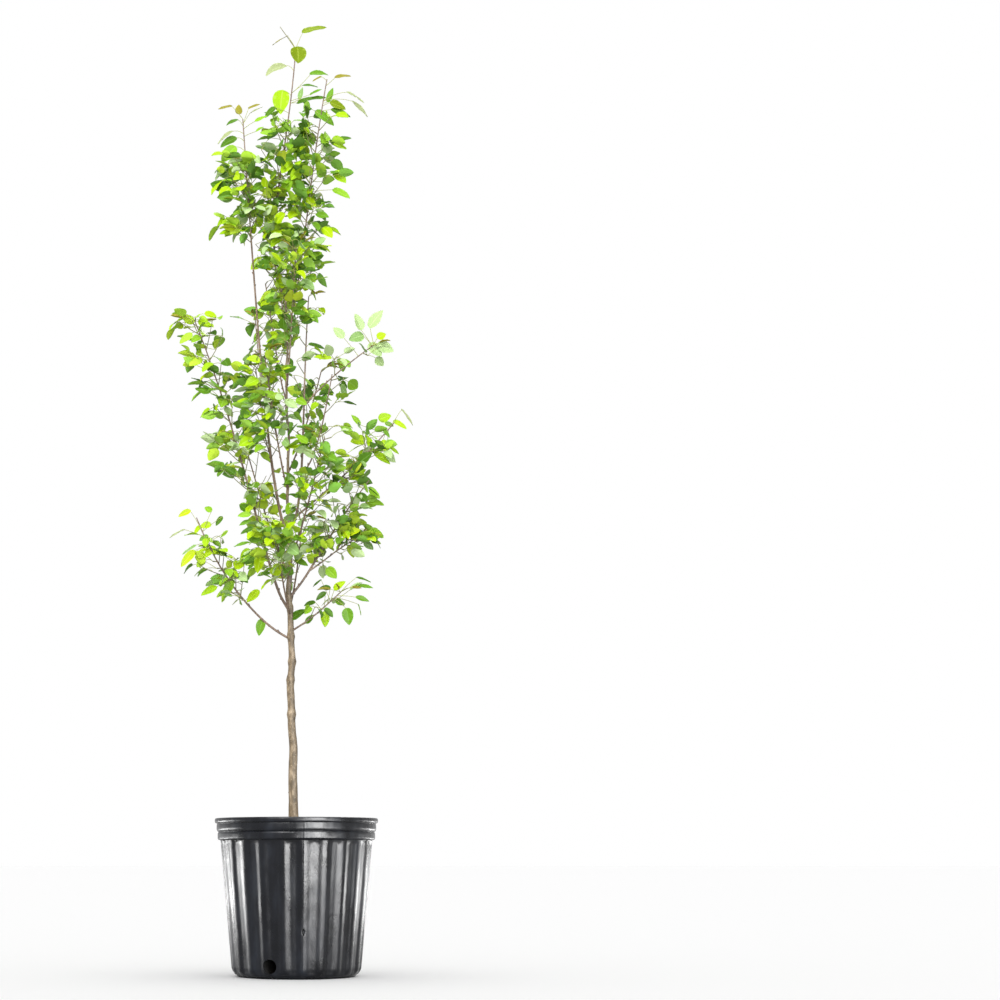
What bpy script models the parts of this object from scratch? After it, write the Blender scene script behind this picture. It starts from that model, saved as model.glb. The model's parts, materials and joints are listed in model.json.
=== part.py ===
"""Potted pear tree: a young pear with leafy leaders and side limbs, in a fluted nursery pot of soil.

Units are metres and +Z is up. The origin is the middle of the pot's flat underside.
A heading is a compass angle seen from above: 0 is the right (+X), 90 the back (+Y),
180 the left and 270 the front. A lift is an angle above the horizontal.
"""

import math
import random
from collections import namedtuple

import bmesh
import bpy
from mathutils import Matrix, Vector
from mathutils.bvhtree import BVHTree
from mathutils.kdtree import KDTree

UP = Vector((0.0, 0.0, 1.0))

# Driving dimensions of the pot and the soil
GAP = 0.0003                    # air left between neighbouring solids
WALL = 0.0022                   # blow-moulded wall
FLUTES = 22
FLUTE_CORNERS = ((0.00, 0), (0.20, 0), (0.42, 1), (0.78, 1))    # share of a flute, 0 ridge or 1 valley
FLUTE_DEPTH = 0.0034
FLUTE_TURN = 4.0                # a ridge starts this far from the front, in degrees
BASE_RADIUS = 0.1040
BODY_LOW = (0.1145, 0.0120)     # radius and height where the flutes start
BODY_HIGH = (0.1348, 0.2290)    # radius and height where their rounded tops start
BEAD_RADIUS = 0.1405
BEAD_BOTTOM = 0.2365
GROOVE_RADIUS = 0.1388
GROOVE_HEIGHT = 0.2510
BAND_RADIUS = 0.1420
LIP_RADIUS = 0.1460
LIP_BOTTOM = 0.2665
POT_HEIGHT = 0.2752
FLOOR = 0.0045                  # thickness of the pot's floor
HOLE_RADIUS = 0.0120
HOLE_HEIGHT = 0.0215
HOLE_HEADINGS = (246.0, 6.0, 126.0)
HOLE_CUTTER_LENGTH = 0.030
SOIL_TOP = 0.2500
SOIL_SIDES = 48

# Driving dimensions of the trunk, heights from the floor
TRUNK_FOOT = SOIL_TOP + GAP
TRUNK_FORK = 0.782              # the outer leaders leave the trunk here
TRUNK_TIP = 1.236
TRUNK_RINGS = 32
RING_CROWDING = 1.15            # above 1, the rings stand closer together near the soil
TRUNK_OFFSET = -0.004           # the foot stands a little left of the pot's middle
TRUNK_LEAN = -0.016             # sideways drift from foot to tip
TRUNK_WAVER = 0.0016            # sideways waver of the young stem
WAVER_LENGTH = 0.190
QUICK_WAVER = 2.3               # the waver's smaller part, so many times as quick
DEPTH_WAVER = 0.61              # the waver from front to back, so many times as quick
FOOT_RADIUS = 0.0088
FORK_RADIUS = 0.0041
LEADER_RADIUS = 0.0028
TRUNK_TIP_RADIUS = 0.0020
FLARE = 0.0034                  # how far the root flare stands out at the soil
FLARE_HEIGHT = 0.016
KNOT_HEIGHTS = (0.461, 0.523, 0.556, 0.602, 0.655)
KNOT_SIZE = 0.0011
KNOT_LENGTH = 0.009

# Rules for the limbs and for the shoots and leaves that grow from them
CURVE_STEPS = 96                # fine steps from which a limb's even rings are taken
RING_STEP = 0.036               # length of limb from ring to ring
LAST_ARM = 0.48                 # share of a limb that keeps its last direction
TIP_RADIUS = 0.0010
BUD_TURN = 144.0                # each bud stands two fifths of a turn from the last
BUD_JITTER = 20.0
RETRY_TURN = 80.0               # turn to another side where a bud's space is taken
TIP_LEAF_TURN = 120.0           # the three leaves at a limb's tip stand this far apart
SHOOT_EVERY = 3                 # every third bud is a side shoot, the others single leaves
TRIES = 4                       # sides that a bud tries
TWIG_RADIUS = 0.0014
TWIG_TIP_RADIUS = 0.0010
TWIG_BUD_STEP = 0.016
TWIG_FORWARD = 0.70             # how far a side twig leans along its limb, and how far it rises
TWIG_RISE = 0.25
TWIG_SHARE = (0.6, 1.0)         # length of a side twig, as a share of the limb's longest
TWIG_TAPER = 0.30               # how much shorter the side twigs are at the limb's tip
LEAF_FORWARD = 0.40             # how far a leaf leans along its twig
TOWARD_LIGHT = 0.5              # pull of the outer leaves away from the trunk
LIGHT_DISTANCE = 0.11           # distance from the trunk where that pull is whole
LEAF_LENGTH = (0.052, 0.068)    # stalk and blade together
LEAF_WIDTH = 0.50               # share of the length
LEAF_BROADEST = 0.56            # share of the length from the root
LEAF_THICKNESS = 0.0010
LEAF_FOLD = 0.0022              # how deep the two halves fold along the midrib
LEAF_SINK = 0.0003              # how far the root passes beyond the twig's middle
LEAF_DROOP = (-12.0, 62.0)      # angle below the horizontal
LEAF_TILT = 55.0                # turn about its own midrib, either way
LEAF_ROOM = 0.16                # share of a leaf, from the root, that may touch its neighbours
CLEARANCE = 0.0012              # air kept round a twig or a leaf
STEM_START = 0.002              # short straight foot of a mass's stem
LEADER_START = 0.004            # the same for the middle leader
REACH_STEPS = 60                # samples along a limb where spaces are compared

# foot: height on the parent; arm: length over which the first lift holds;
# reach and top: where the tip ends; radius: at the foot; bare: share with no leaves;
# buds: leafing places on the rest; spread: longest side shoot.
Limb = namedtuple("Limb", "name parent foot heading lift arm reach top tip_lift radius bare buds spread")

LIMBS = (
    Limb("low_left", "trunk", 0.596, 191, 25, 0.060, 0.176, 0.816, 68, 0.0022, 0.42, 12, 0.070),
    Limb("low_right", "trunk", 0.611, 352, 30, 0.040, 0.092, 0.682, 42, 0.0018, 0.26, 8, 0.060),
    Limb("low_front", "trunk", 0.640, 258, 30, 0.050, 0.122, 0.785, 62, 0.0018, 0.32, 9, 0.055),
    Limb("left_long", "trunk", 0.646, 168, 45, 0.060, 0.186, 1.208, 68, 0.0026, 0.13, 24, 0.066),
    Limb("low_back", "trunk", 0.655, 81, 35, 0.050, 0.150, 0.840, 62, 0.0019, 0.30, 10, 0.060),
    Limb("right_fork", "trunk", 0.672, 8, 47, 0.060, 0.150, 0.895, 52, 0.0023, 0.32, 12, 0.060),
    Limb("back_left", "trunk", 0.715, 128, 42, 0.050, 0.140, 0.985, 66, 0.0020, 0.28, 10, 0.055),
    Limb("front_right", "trunk", 0.742, 302, 46, 0.050, 0.118, 0.950, 64, 0.0018, 0.26, 11, 0.055),
    Limb("leader_left", "trunk", 0.782, 184, 52, 0.060, 0.090, 1.590, 86, 0.0027, 0.70, 14, 0.066),
    Limb("leader_right", "trunk", 0.792, 350, 58, 0.060, 0.036, 1.240, 94, 0.0025, 0.52, 10, 0.055),
    Limb("right_rising", "leader_right", 0.822, 16, 42, 0.060, 0.192, 1.010, 50, 0.0020, 0.26, 15, 0.060),
    Limb("mid_front", "trunk", 0.872, 250, 45, 0.050, 0.122, 1.100, 66, 0.0017, 0.24, 11, 0.055),
    Limb("mid_back", "trunk", 0.905, 62, 48, 0.050, 0.136, 1.130, 64, 0.0017, 0.26, 10, 0.055),
    Limb("high_back", "trunk", 1.040, 118, 52, 0.040, 0.088, 1.290, 72, 0.0015, 0.24, 9, 0.055),
    Limb("high_front", "trunk", 1.060, 282, 52, 0.040, 0.084, 1.310, 72, 0.0015, 0.22, 10, 0.055),
    Limb("top_left", "trunk", 1.180, 128, 56, 0.040, 0.036, 1.500, 84, 0.0014, 0.14, 10, 0.055),
    Limb("top_right", "trunk", 1.180, 350, 58, 0.050, 0.078, 1.668, 80, 0.0016, 0.14, 20, 0.064),
    Limb("right_side", "right_fork", 0.722, 4, 34, 0.040, 0.094, 0.788, 30, 0.0015, 0.44, 6, 0.050),
    Limb("right_inner", "leader_right", 0.897, 356, 48, 0.040, 0.058, 1.090, 80, 0.0016, 0.30, 8, 0.050),
    Limb("right_high", "leader_right", 1.030, 348, 50, 0.040, 0.132, 1.140, 34, 0.0014, 0.40, 8, 0.046),
    Limb("left_inner", "leader_left", 0.930, 238, 42, 0.030, 0.054, 1.090, 72, 0.0012, 0.0, 8, 0.050),
    Limb("left_upper", "leader_left", 1.040, 112, 48, 0.030, 0.052, 1.215, 76, 0.0011, 0.0, 7, 0.045),
)

# The middle leader goes on from the trunk's tip, first to the left and then to the top.
CROWN_TOP = Limb("crown_top", "trunk", TRUNK_TIP, 178, 64, 0.120, -0.022, 1.768, 87, 0.0019, 0.0, 21, 0.064)

# Name, colour and roughness of each surface
POT_PLASTIC = ("pot plastic", "2e3338", 0.38)
POTTING_SOIL = ("potting soil", "3a2c20", 0.95)
PEAR_BARK = ("pear bark", "8d7c69", 0.80)
PEAR_LEAF = ("pear leaf", "5c9c1f", 0.50)


def clear_scene():
    """Take away whatever objects the scene holds."""
    for item in list(bpy.data.objects):
        bpy.data.objects.remove(item)


def collection(name):
    """Make a collection in the scene."""
    made = bpy.data.collections.new(name)
    bpy.context.scene.collection.children.link(made)
    return made


def material(name, colour, roughness):
    """Make a Principled material from an sRGB hex colour."""
    made = bpy.data.materials.new(name)
    made.use_nodes = True
    shader = made.node_tree.nodes["Principled BSDF"]
    parts = [int(colour[i:i + 2], 16) / 255 for i in (0, 2, 4)]
    linear = [c / 12.92 if c <= 0.04045 else ((c + 0.055) / 1.055) ** 2.4 for c in parts]
    shader.inputs["Base Color"].default_value = (*linear, 1.0)
    shader.inputs["Roughness"].default_value = roughness
    return made


def mesh_object(name, mesh, home, finish):
    """Put a mesh in an object of its own."""
    made = bpy.data.objects.new(name, mesh)
    home.objects.link(made)
    made.data.materials.clear()
    made.data.materials.append(finish)
    return made


def shade(item, angle=40.0):
    """Shade an object smooth, with its sharper edges kept crisp."""
    item.data.shade_smooth()
    item.data.set_sharp_from_angle(angle=math.radians(angle))


def heading_vector(heading, lift=0.0):
    """Unit vector for a compass heading and a lift above the horizontal."""
    turn, rise = math.radians(heading), math.radians(lift)
    return Vector((math.cos(turn) * math.cos(rise), math.sin(turn) * math.cos(rise), math.sin(rise)))


# The pot and its soil

def fluted_ring(radius, height, share):
    """One ring of the pot: ridges at the radius, valleys in by a share of the flute's depth."""
    ring = []
    for flute in range(FLUTES):
        for corner, in_valley in FLUTE_CORNERS:
            angle = math.radians(270.0 + FLUTE_TURN + 360.0 * (flute + corner) / FLUTES)
            reach = radius - share * FLUTE_DEPTH * in_valley
            ring.append((reach * math.cos(angle), reach * math.sin(angle), height))
    return ring


def loft(name, rings, home, finish):
    """Closed solid through rings of equal count, with a flat face on the first and the last."""
    count = len(rings[0])
    points = [point for ring in rings for point in ring]
    faces = [tuple(reversed(range(count)))]
    for level in range(len(rings) - 1):
        low = level * count
        for i in range(count):
            j = (i + 1) % count
            faces.append((low + i, low + j, low + count + j, low + count + i))
    faces.append(tuple(range(len(points) - count, len(points))))
    mesh = bpy.data.meshes.new(name)
    mesh.from_pydata(points, [], faces)
    return mesh_object(name, mesh, home, finish)


def pot_rings():
    """Rings from the underside's edge up the outside, over the lip and down to the floor."""
    edge = 0.0022               # slope at the edges of the beads and of the lip
    throat = GROOVE_RADIUS - WALL
    outside = [
        (BASE_RADIUS, 0.0, 0.0),
        (*BODY_LOW, 1.0),
        (*BODY_HIGH, 1.0),
        (BODY_HIGH[0] + edge, BEAD_BOTTOM, 0.0),
        (BEAD_RADIUS, BEAD_BOTTOM + edge / 4, 0.0),
        (BEAD_RADIUS, GROOVE_HEIGHT - edge, 0.0),
        (GROOVE_RADIUS, GROOVE_HEIGHT, 0.0),
        (BAND_RADIUS, GROOVE_HEIGHT + edge, 0.0),
        (BAND_RADIUS, LIP_BOTTOM, 0.0),
        (LIP_RADIUS, LIP_BOTTOM + edge / 2, 0.0),
        (LIP_RADIUS, POT_HEIGHT - edge, 0.0),
        (LIP_RADIUS - edge, POT_HEIGHT, 0.0),
    ]
    inside = [
        (throat + edge, POT_HEIGHT, 0.0),
        (throat, BEAD_BOTTOM + WALL, 0.0),
        (BODY_HIGH[0] - WALL, BODY_HIGH[1], 1.0),
        (BODY_LOW[0] - WALL, BODY_LOW[1], 1.0),
        (BASE_RADIUS, FLOOR, 0.0),
    ]
    return [fluted_ring(*ring) for ring in outside + inside]


def make_pot(home, cutters, finish):
    """Fluted shell with a banded rim and three round drain holes low in its side."""
    pot = loft("pot", pot_rings(), home, finish)
    for number, heading in enumerate(HOLE_HEADINGS):
        bpy.ops.mesh.primitive_cylinder_add(vertices=16, radius=HOLE_RADIUS, depth=HOLE_CUTTER_LENGTH)
        cutter = bpy.context.object
        cutter.name = f"drain_cutter_{number}"
        for owner in list(cutter.users_collection):
            owner.objects.unlink(cutter)
        cutters.objects.link(cutter)
        cutter.location = BODY_LOW[0] * heading_vector(heading) + HOLE_HEIGHT * UP
        cutter.rotation_euler = heading_vector(heading).to_track_quat("Z", "Y").to_euler()
        cutter.hide_render = True
        cutter.display_type = "WIRE"
        cut = pot.modifiers.new(f"drain_{number}", "BOOLEAN")
        cut.operation = "DIFFERENCE"
        cut.object = cutter
    shade(pot, 28.0)
    return pot


def make_soil(home, finish):
    """Root ball that fills the pot to a finger's width below the rim."""
    air = 2 * GAP
    throat = GROOVE_RADIUS - WALL - air
    levels = (
        (BASE_RADIUS - WALL, FLOOR + GAP),
        (BODY_LOW[0] - WALL - FLUTE_DEPTH - air, BODY_LOW[1]),
        (BODY_HIGH[0] - WALL - FLUTE_DEPTH - air, BODY_HIGH[1]),
        (throat, BEAD_BOTTOM + WALL),
        (throat, SOIL_TOP),
    )
    angles = [2.0 * math.pi * i / SOIL_SIDES for i in range(SOIL_SIDES)]
    rings = []
    for radius, height in levels:
        rings.append([(radius * math.cos(a), radius * math.sin(a), height) for a in angles])
    soil = loft("soil", rings, home, finish)
    shade(soil)
    return soil


# The trunk and the limbs

def trunk_line():
    """Middle points and radii of the trunk, from the soil to its tip."""
    points, radii = [], []
    for i in range(TRUNK_RINGS):
        share = i / (TRUNK_RINGS - 1)
        height = TRUNK_FOOT + (TRUNK_TIP - TRUNK_FOOT) * share ** RING_CROWDING
        above = height - TRUNK_FOOT
        phase = 2.0 * math.pi * above / WAVER_LENGTH
        waver = TRUNK_WAVER * min(1.0, above / WAVER_LENGTH)
        sway = math.sin(phase) + 0.5 * math.sin(QUICK_WAVER * phase)
        x = TRUNK_OFFSET + TRUNK_LEAN * share - waver * sway
        y = waver * math.sin(DEPTH_WAVER * phase + 1.0)
        points.append(Vector((x, y, height)))
        radii.append(trunk_radius(height))
    points[1].xy = points[0].xy
    return points, radii


def trunk_radius(height):
    """Taper from the soil to the fork, thinner above it, with the root flare and the knots."""
    above = height - TRUNK_FOOT
    if height < TRUNK_FORK:
        radius = FOOT_RADIUS + (FORK_RADIUS - FOOT_RADIUS) * above / (TRUNK_FORK - TRUNK_FOOT)
    else:
        share = (height - TRUNK_FORK) / (TRUNK_TIP - TRUNK_FORK)
        radius = LEADER_RADIUS + (TRUNK_TIP_RADIUS - LEADER_RADIUS) * share
    radius += FLARE * math.exp(-above / FLARE_HEIGHT)
    for knot in KNOT_HEIGHTS:
        radius += KNOT_SIZE * math.exp(-((height - knot) / KNOT_LENGTH) ** 2)
    return radius


def at_height(line, height):
    """Point, direction and radius where a line of rising points passes a height."""
    points, radii = line
    for i in range(len(points) - 1):
        low, high = points[i], points[i + 1]
        if high.z >= height or i == len(points) - 2:
            share = min(1.0, max(0.0, (height - low.z) / (high.z - low.z)))
            radius = radii[i] + (radii[i + 1] - radii[i]) * share
            return low.lerp(high, share), (high - low).normalized(), radius
    return None


def limb_line(limb, parent_line):
    """Middle points and radii of a limb, an easy S from its parent's middle to its tip."""
    start, _, _ = at_height(parent_line, limb.foot)
    side = heading_vector(limb.heading)
    end = start + limb.reach * side
    end.z = limb.top
    first = start + limb.arm * heading_vector(limb.heading, limb.lift)
    lean = math.copysign(math.cos(math.radians(limb.tip_lift)), limb.reach) * side
    rise = math.sin(math.radians(limb.tip_lift)) * UP
    last = end - LAST_ARM * (end - start).length * (lean + rise)
    fine = []
    for i in range(CURVE_STEPS + 1):
        t = i / CURVE_STEPS
        s = 1.0 - t
        fine.append(s ** 3 * start + 3 * s * s * t * first + 3 * s * t * t * last + t ** 3 * end)
    points = even_points(fine)
    radii = [limb.radius + (TIP_RADIUS - limb.radius) * i / (len(points) - 1) for i in range(len(points))]
    return points, radii


def even_points(fine):
    """Points a ring's step apart along a finely stepped line."""
    lengths = [0.0]
    for low, high in zip(fine, fine[1:]):
        lengths.append(lengths[-1] + (high - low).length)
    count = max(4, round(lengths[-1] / RING_STEP))
    points = []
    step = 0
    for i in range(count + 1):
        target = lengths[-1] * i / count
        while step < len(fine) - 2 and lengths[step + 1] < target:
            step += 1
        share = (target - lengths[step]) / (lengths[step + 1] - lengths[step])
        points.append(fine[step].lerp(fine[step + 1], share))
    return points


def tube(name, points, radii, sides, home, finish):
    """Tapering round tube through points, closed at both ends, as a mesh object."""
    curve = bpy.data.curves.new(name, "CURVE")
    curve.dimensions = "3D"
    curve.bevel_depth = 1.0
    curve.bevel_resolution = (sides - 4) // 2
    curve.use_fill_caps = True
    spline = curve.splines.new("POLY")
    spline.points.add(len(points) - 1)
    for slot, point, radius in zip(spline.points, points, radii):
        slot.co = (*point, 1.0)
        slot.radius = radius
    guide = bpy.data.objects.new(name, curve)
    home.objects.link(guide)
    graph = bpy.context.evaluated_depsgraph_get()
    mesh = bpy.data.meshes.new_from_object(guide.evaluated_get(graph))
    bpy.data.objects.remove(guide)
    work = bmesh.new()
    work.from_mesh(mesh)
    bmesh.ops.remove_doubles(work, verts=work.verts, dist=0.00001)
    work.to_mesh(mesh)
    work.free()
    return mesh_object(name, mesh, home, finish)


def trim_foot(item, spot, outward):
    """Cut a limb flat where it would enter its parent, and close the cut."""
    work = bmesh.new()
    work.from_mesh(item.data)
    everything = work.verts[:] + work.edges[:] + work.faces[:]
    bmesh.ops.bisect_plane(work, geom=everything, plane_co=spot, plane_no=outward, clear_inner=True)
    rim = [edge for edge in work.edges if edge.is_boundary]
    bmesh.ops.edgeloop_fill(work, edges=rim)
    bmesh.ops.recalc_face_normals(work, faces=work.faces)
    work.to_mesh(item.data)
    work.free()


def foot_cut(limb, parent_line):
    """Plane a hair outside the parent's bark, along the parent and square to the limb."""
    spot, along, radius = at_height(parent_line, limb.foot)
    ahead = heading_vector(limb.heading, limb.lift)
    outward = (ahead - ahead.dot(along) * along).normalized()
    return spot + (radius + GAP) * outward, outward


def split_line(line, share):
    """The bare and the leafy stretch of a limb, a hair apart where they meet."""
    points, radii = line
    if share == 0.0:
        return None, line
    cut = max(1, round(share * (len(points) - 1)))
    along = (points[cut] - points[cut - 1]).normalized()
    start = points[cut] + GAP * along
    leafy = [start, start + STEM_START * along] + points[cut + 1:]
    return (points[:cut + 1], radii[:cut + 1]), (leafy, [radii[cut], radii[cut]] + radii[cut + 1:])


# Leaves and twigs

def leaf_mesh(length, grow=0.0):
    """Leaf with its stalk, as eight faces: a kite with a raised back, folded at the midrib."""
    work = bmesh.new()
    bmesh.ops.create_uvsphere(work, u_segments=4, v_segments=2, radius=1.0)
    for point in work.verts:
        along, across, above = point.co
        if abs(along) > 0.5:
            x = length + grow if along > 0.0 else -LEAF_SINK - grow
            point.co = (x, 0.0, 0.0)
        elif abs(across) > 0.5:
            reach = LEAF_WIDTH * length / 2 + grow
            point.co = (LEAF_BROADEST * length, math.copysign(reach, across), LEAF_FOLD)
        else:
            lift = math.copysign(LEAF_THICKNESS / 2 + grow, above)
            point.co = (LEAF_BROADEST * length, 0.0, lift)
    mesh = bpy.data.meshes.new("leaf")
    work.to_mesh(mesh)
    work.free()
    return mesh


def twig_mesh(length, grow=0.0):
    """Three-sided tapering twig from its own start along +X."""
    work = bmesh.new()
    place = Matrix.Translation((length / 2, 0.0, 0.0)) @ Matrix.Rotation(math.pi / 2, 4, "Y")
    bmesh.ops.create_cone(work, cap_ends=True, segments=3, radius1=TWIG_RADIUS + grow,
                          radius2=TWIG_TIP_RADIUS + grow, depth=length + grow, matrix=place)
    mesh = bpy.data.meshes.new("twig")
    work.to_mesh(mesh)
    work.free()
    return mesh


def frame_at(place, ahead, face_up):
    """Matrix that stands a piece at a place, along one direction, with its face turned up."""
    x = ahead.normalized()
    y = face_up.cross(x).normalized()
    z = x.cross(y)
    return Matrix.Translation(place) @ Matrix((x, y, z)).transposed().to_4x4()


def side_of(along, turn):
    """Unit vector square to a direction, turned about it."""
    return Matrix.Rotation(math.radians(turn), 3, along) @ along.orthogonal().normalized()


def probe_tree(mesh, matrix):
    """Search tree of a mesh at its place."""
    points = [matrix @ point.co for point in mesh.vertices]
    return BVHTree.FromPolygons(points, [tuple(face.vertices) for face in mesh.polygons])


class Spaces:
    """Who holds which space: the limbs, the stems that leaves grow on, and finished masses."""

    def __init__(self):
        self.trees = {}
        self.samples = []

    def add_solid(self, name, item):
        self.trees[name] = probe_tree(item.data, item.matrix_world)

    def add_stem(self, name, points):
        for i in range(REACH_STEPS):
            place = i / (REACH_STEPS - 1) * (len(points) - 1)
            low = min(int(place), len(points) - 2)
            self.samples.append((points[low].lerp(points[low + 1], place - low), name))

    def close(self):
        self.nearest = KDTree(len(self.samples))
        for index, (point, _) in enumerate(self.samples):
            self.nearest.insert(point, index)
        self.nearest.balance()

    def owner(self, point):
        _, index, _ = self.nearest.find(point)
        return self.samples[index][1]

    def free(self, name, tree, middle):
        """True where a piece of a mass stays in the mass's own space and touches nothing else."""
        if self.owner(middle) != name:
            return False
        return not any(tree.overlap(other) for key, other in self.trees.items() if key != name)


class Mass:
    """One mass of foliage that grows on one stem."""

    def __init__(self, limb, line, spaces, loose, finish):
        self.name = f"{limb.name}_leaves"
        self.limb = limb
        self.points = line[0]
        self.spaces = spaces
        self.loose = loose
        self.finish = finish
        self.chance = random.Random(self.name)
        self.leaves = []

    def try_piece(self, make, place, ahead, face_up, middle):
        """Add a piece if its space is free, and say whether it was added."""
        matrix = frame_at(place, ahead, face_up)
        probe = probe_tree(make(CLEARANCE), matrix)
        if not self.spaces.free(self.name, probe, middle):
            return False
        if any(probe.overlap(leaf) for leaf in self.leaves):
            return False
        piece = mesh_object("piece", make(0.0), self.loose, self.finish)
        piece.matrix_world = matrix
        return True

    def try_leaf(self, place, outward):
        """One leaf that stands away from the twig and the trunk, and hangs by its own weight."""
        light = Vector((place.x - TRUNK_OFFSET - TRUNK_LEAN, place.y, 0.0)) / LIGHT_DISTANCE
        light *= min(1.0, 1.0 / max(light.length, 0.001))
        flat = Vector((outward.x, outward.y, 0.0)) + TOWARD_LIGHT * light
        flat = flat.normalized() if flat.length > 0.05 else heading_vector(self.chance.uniform(0, 360))
        droop = math.radians(self.chance.uniform(*LEAF_DROOP))
        ahead = flat * math.cos(droop) - UP * math.sin(droop)
        tilt = math.radians(self.chance.uniform(-LEAF_TILT, LEAF_TILT))
        face_up = Matrix.Rotation(tilt, 3, ahead) @ (UP + 0.01 * flat)
        length = self.chance.uniform(*LEAF_LENGTH)
        middle = place + LEAF_BROADEST * length * ahead
        added = self.try_piece(lambda grow: leaf_mesh(length, grow), place, ahead, face_up, middle)
        if added:
            outer = frame_at(place + LEAF_ROOM * length * ahead, ahead, face_up)
            self.leaves.append(probe_tree(leaf_mesh((1.0 - LEAF_ROOM) * length), outer))
        return added

    def add_leaf(self, place, along, turn):
        """A leaf at a bud, turned on round its twig where its first side is taken."""
        for attempt in range(TRIES):
            side = side_of(along, turn + attempt * RETRY_TURN)
            if self.try_leaf(place, side + LEAF_FORWARD * along):
                return

    def add_shoot(self, place, along, turn, length):
        """A side twig with leaves along it and one at its tip."""
        for attempt in range(TRIES):
            side = side_of(along, turn + attempt * RETRY_TURN)
            ahead = (side + TWIG_FORWARD * along + TWIG_RISE * UP).normalized()
            middle = place + 0.5 * length * ahead
            if self.try_piece(lambda grow: twig_mesh(length, grow), place, ahead, side, middle):
                break
        else:
            return
        count = max(2, round(length / TWIG_BUD_STEP))
        for i in range(1, count + 1):
            spot = place + (length - TWIG_RADIUS) * i / count * ahead
            self.add_leaf(spot, ahead, BUD_TURN * i)

    def grow(self):
        """Leaves and side twigs round the stem, bud by bud."""
        turn = self.chance.uniform(0.0, 360.0)
        for bud in range(self.limb.buds):
            share = (bud + self.chance.uniform(0.3, 0.7)) / self.limb.buds
            place_on = share * (len(self.points) - 1)
            low = min(int(place_on), len(self.points) - 2)
            place = self.points[low].lerp(self.points[low + 1], place_on - low)
            along = (self.points[low + 1] - self.points[low]).normalized()
            turn += BUD_TURN + self.chance.uniform(-BUD_JITTER, BUD_JITTER)
            if bud % SHOOT_EVERY == 0:
                length = self.limb.spread * self.chance.uniform(*TWIG_SHARE)
                self.add_shoot(place, along, turn, length * (1.0 - TWIG_TAPER * share))
            else:
                self.add_leaf(place, along, turn)
        along = (self.points[-1] - self.points[-2]).normalized()
        for third in range(3):
            self.add_leaf(self.points[-1] - TIP_RADIUS * along, along, turn + TIP_LEAF_TURN * third)


def join_pieces(stem, loose):
    """Fuse a collection's pieces onto a stem with one union, and take the pieces away."""
    union = stem.modifiers.new("fused", "BOOLEAN")
    union.operation = "UNION"
    union.operand_type = "COLLECTION"
    union.collection = loose
    union.solver = "EXACT"
    graph = bpy.context.evaluated_depsgraph_get()
    fused = bpy.data.meshes.new_from_object(stem.evaluated_get(graph))
    stem.modifiers.clear()
    stem.data = fused
    for piece in list(loose.objects):
        bpy.data.objects.remove(piece)


def keep_largest(item):
    """Drop loose scraps and the walls of sealed hollows, which are separate shells."""
    work = bmesh.new()
    work.from_mesh(item.data)
    left = set(work.faces)
    shells = []
    while left:
        shell, rim = [], [left.pop()]
        while rim:
            face = rim.pop()
            shell.append(face)
            for edge in face.edges:
                for other in edge.link_faces:
                    if other in left:
                        left.remove(other)
                        rim.append(other)
        shells.append(shell)
    largest = max(shells, key=len)
    scraps = [face for shell in shells if shell is not largest for face in shell]
    bmesh.ops.delete(work, geom=scraps, context="FACES")
    work.to_mesh(item.data)
    work.free()


def make_tree(home, bark, foliage):
    """Trunk, limbs and masses of foliage, each clear of the others."""
    spaces = Spaces()
    lines = {"trunk": trunk_line()}
    trunk = tube("trunk", *lines["trunk"], 8, home, bark)
    shade(trunk)
    spaces.add_solid("trunk", trunk)
    leafy = []
    for limb in LIMBS:
        line = limb_line(limb, lines[limb.parent])
        lines[limb.name] = line
        cut = foot_cut(limb, lines[limb.parent])
        bare, rest = split_line(line, limb.bare)
        if bare:
            bough = tube(limb.name, *bare, 6, home, bark)
            trim_foot(bough, *cut)
            shade(bough)
            spaces.add_solid(limb.name, bough)
        stem = tube(f"{limb.name}_leaves", *rest, 4, home, foliage)
        if not bare:
            trim_foot(stem, *cut)
        leafy.append((limb, rest, stem))
    top_line = limb_line(CROWN_TOP, lines["trunk"])
    along = (lines["trunk"][0][-1] - lines["trunk"][0][-2]).normalized()
    start = top_line[0][0] + GAP * along
    top_points = [start, start + LEADER_START * along] + top_line[0][1:]
    top_line = (top_points, [TRUNK_TIP_RADIUS] + top_line[1])
    leafy.append((CROWN_TOP, top_line, tube("crown_top_leaves", *top_line, 4, home, foliage)))
    for limb, rest, stem in leafy:
        spaces.add_stem(stem.name, rest[0])
        spaces.add_solid(stem.name, stem)
    spaces.close()
    loose = collection("loose_leaves")
    for limb, rest, stem in leafy:
        mass = Mass(limb, rest, spaces, loose, foliage)
        mass.grow()
        join_pieces(stem, loose)
        keep_largest(stem)
        shade(stem)
        spaces.add_solid(stem.name, stem)


def main():
    """Build the whole part."""
    clear_scene()
    home = collection("potted_pear_tree")
    cutters = collection("cutters")
    make_pot(home, cutters, material(*POT_PLASTIC))
    make_soil(home, material(*POTTING_SOIL))
    make_tree(home, material(*PEAR_BARK), material(*PEAR_LEAF))


main()
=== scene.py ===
"""Looks of a potted pear tree: a young pear in leaf, in a fluted nursery pot of bark mix.

The tree grows here by the rule that its solids follow: the same trunk and limbs, and on each
limb the same order of buds, carried on to finer twigs and to leaves with stalks.
Units are metres and +Z is up. A heading is a compass angle seen from above: 0 is the right,
90 the back, 180 the left and 270 the front. A lift is an angle above the horizontal.
"""

import json
import math
import random
from collections import namedtuple

import bmesh
import bpy
import numpy as np
from mathutils import Matrix, Vector, noise
from mathutils.kdtree import KDTree

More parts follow.
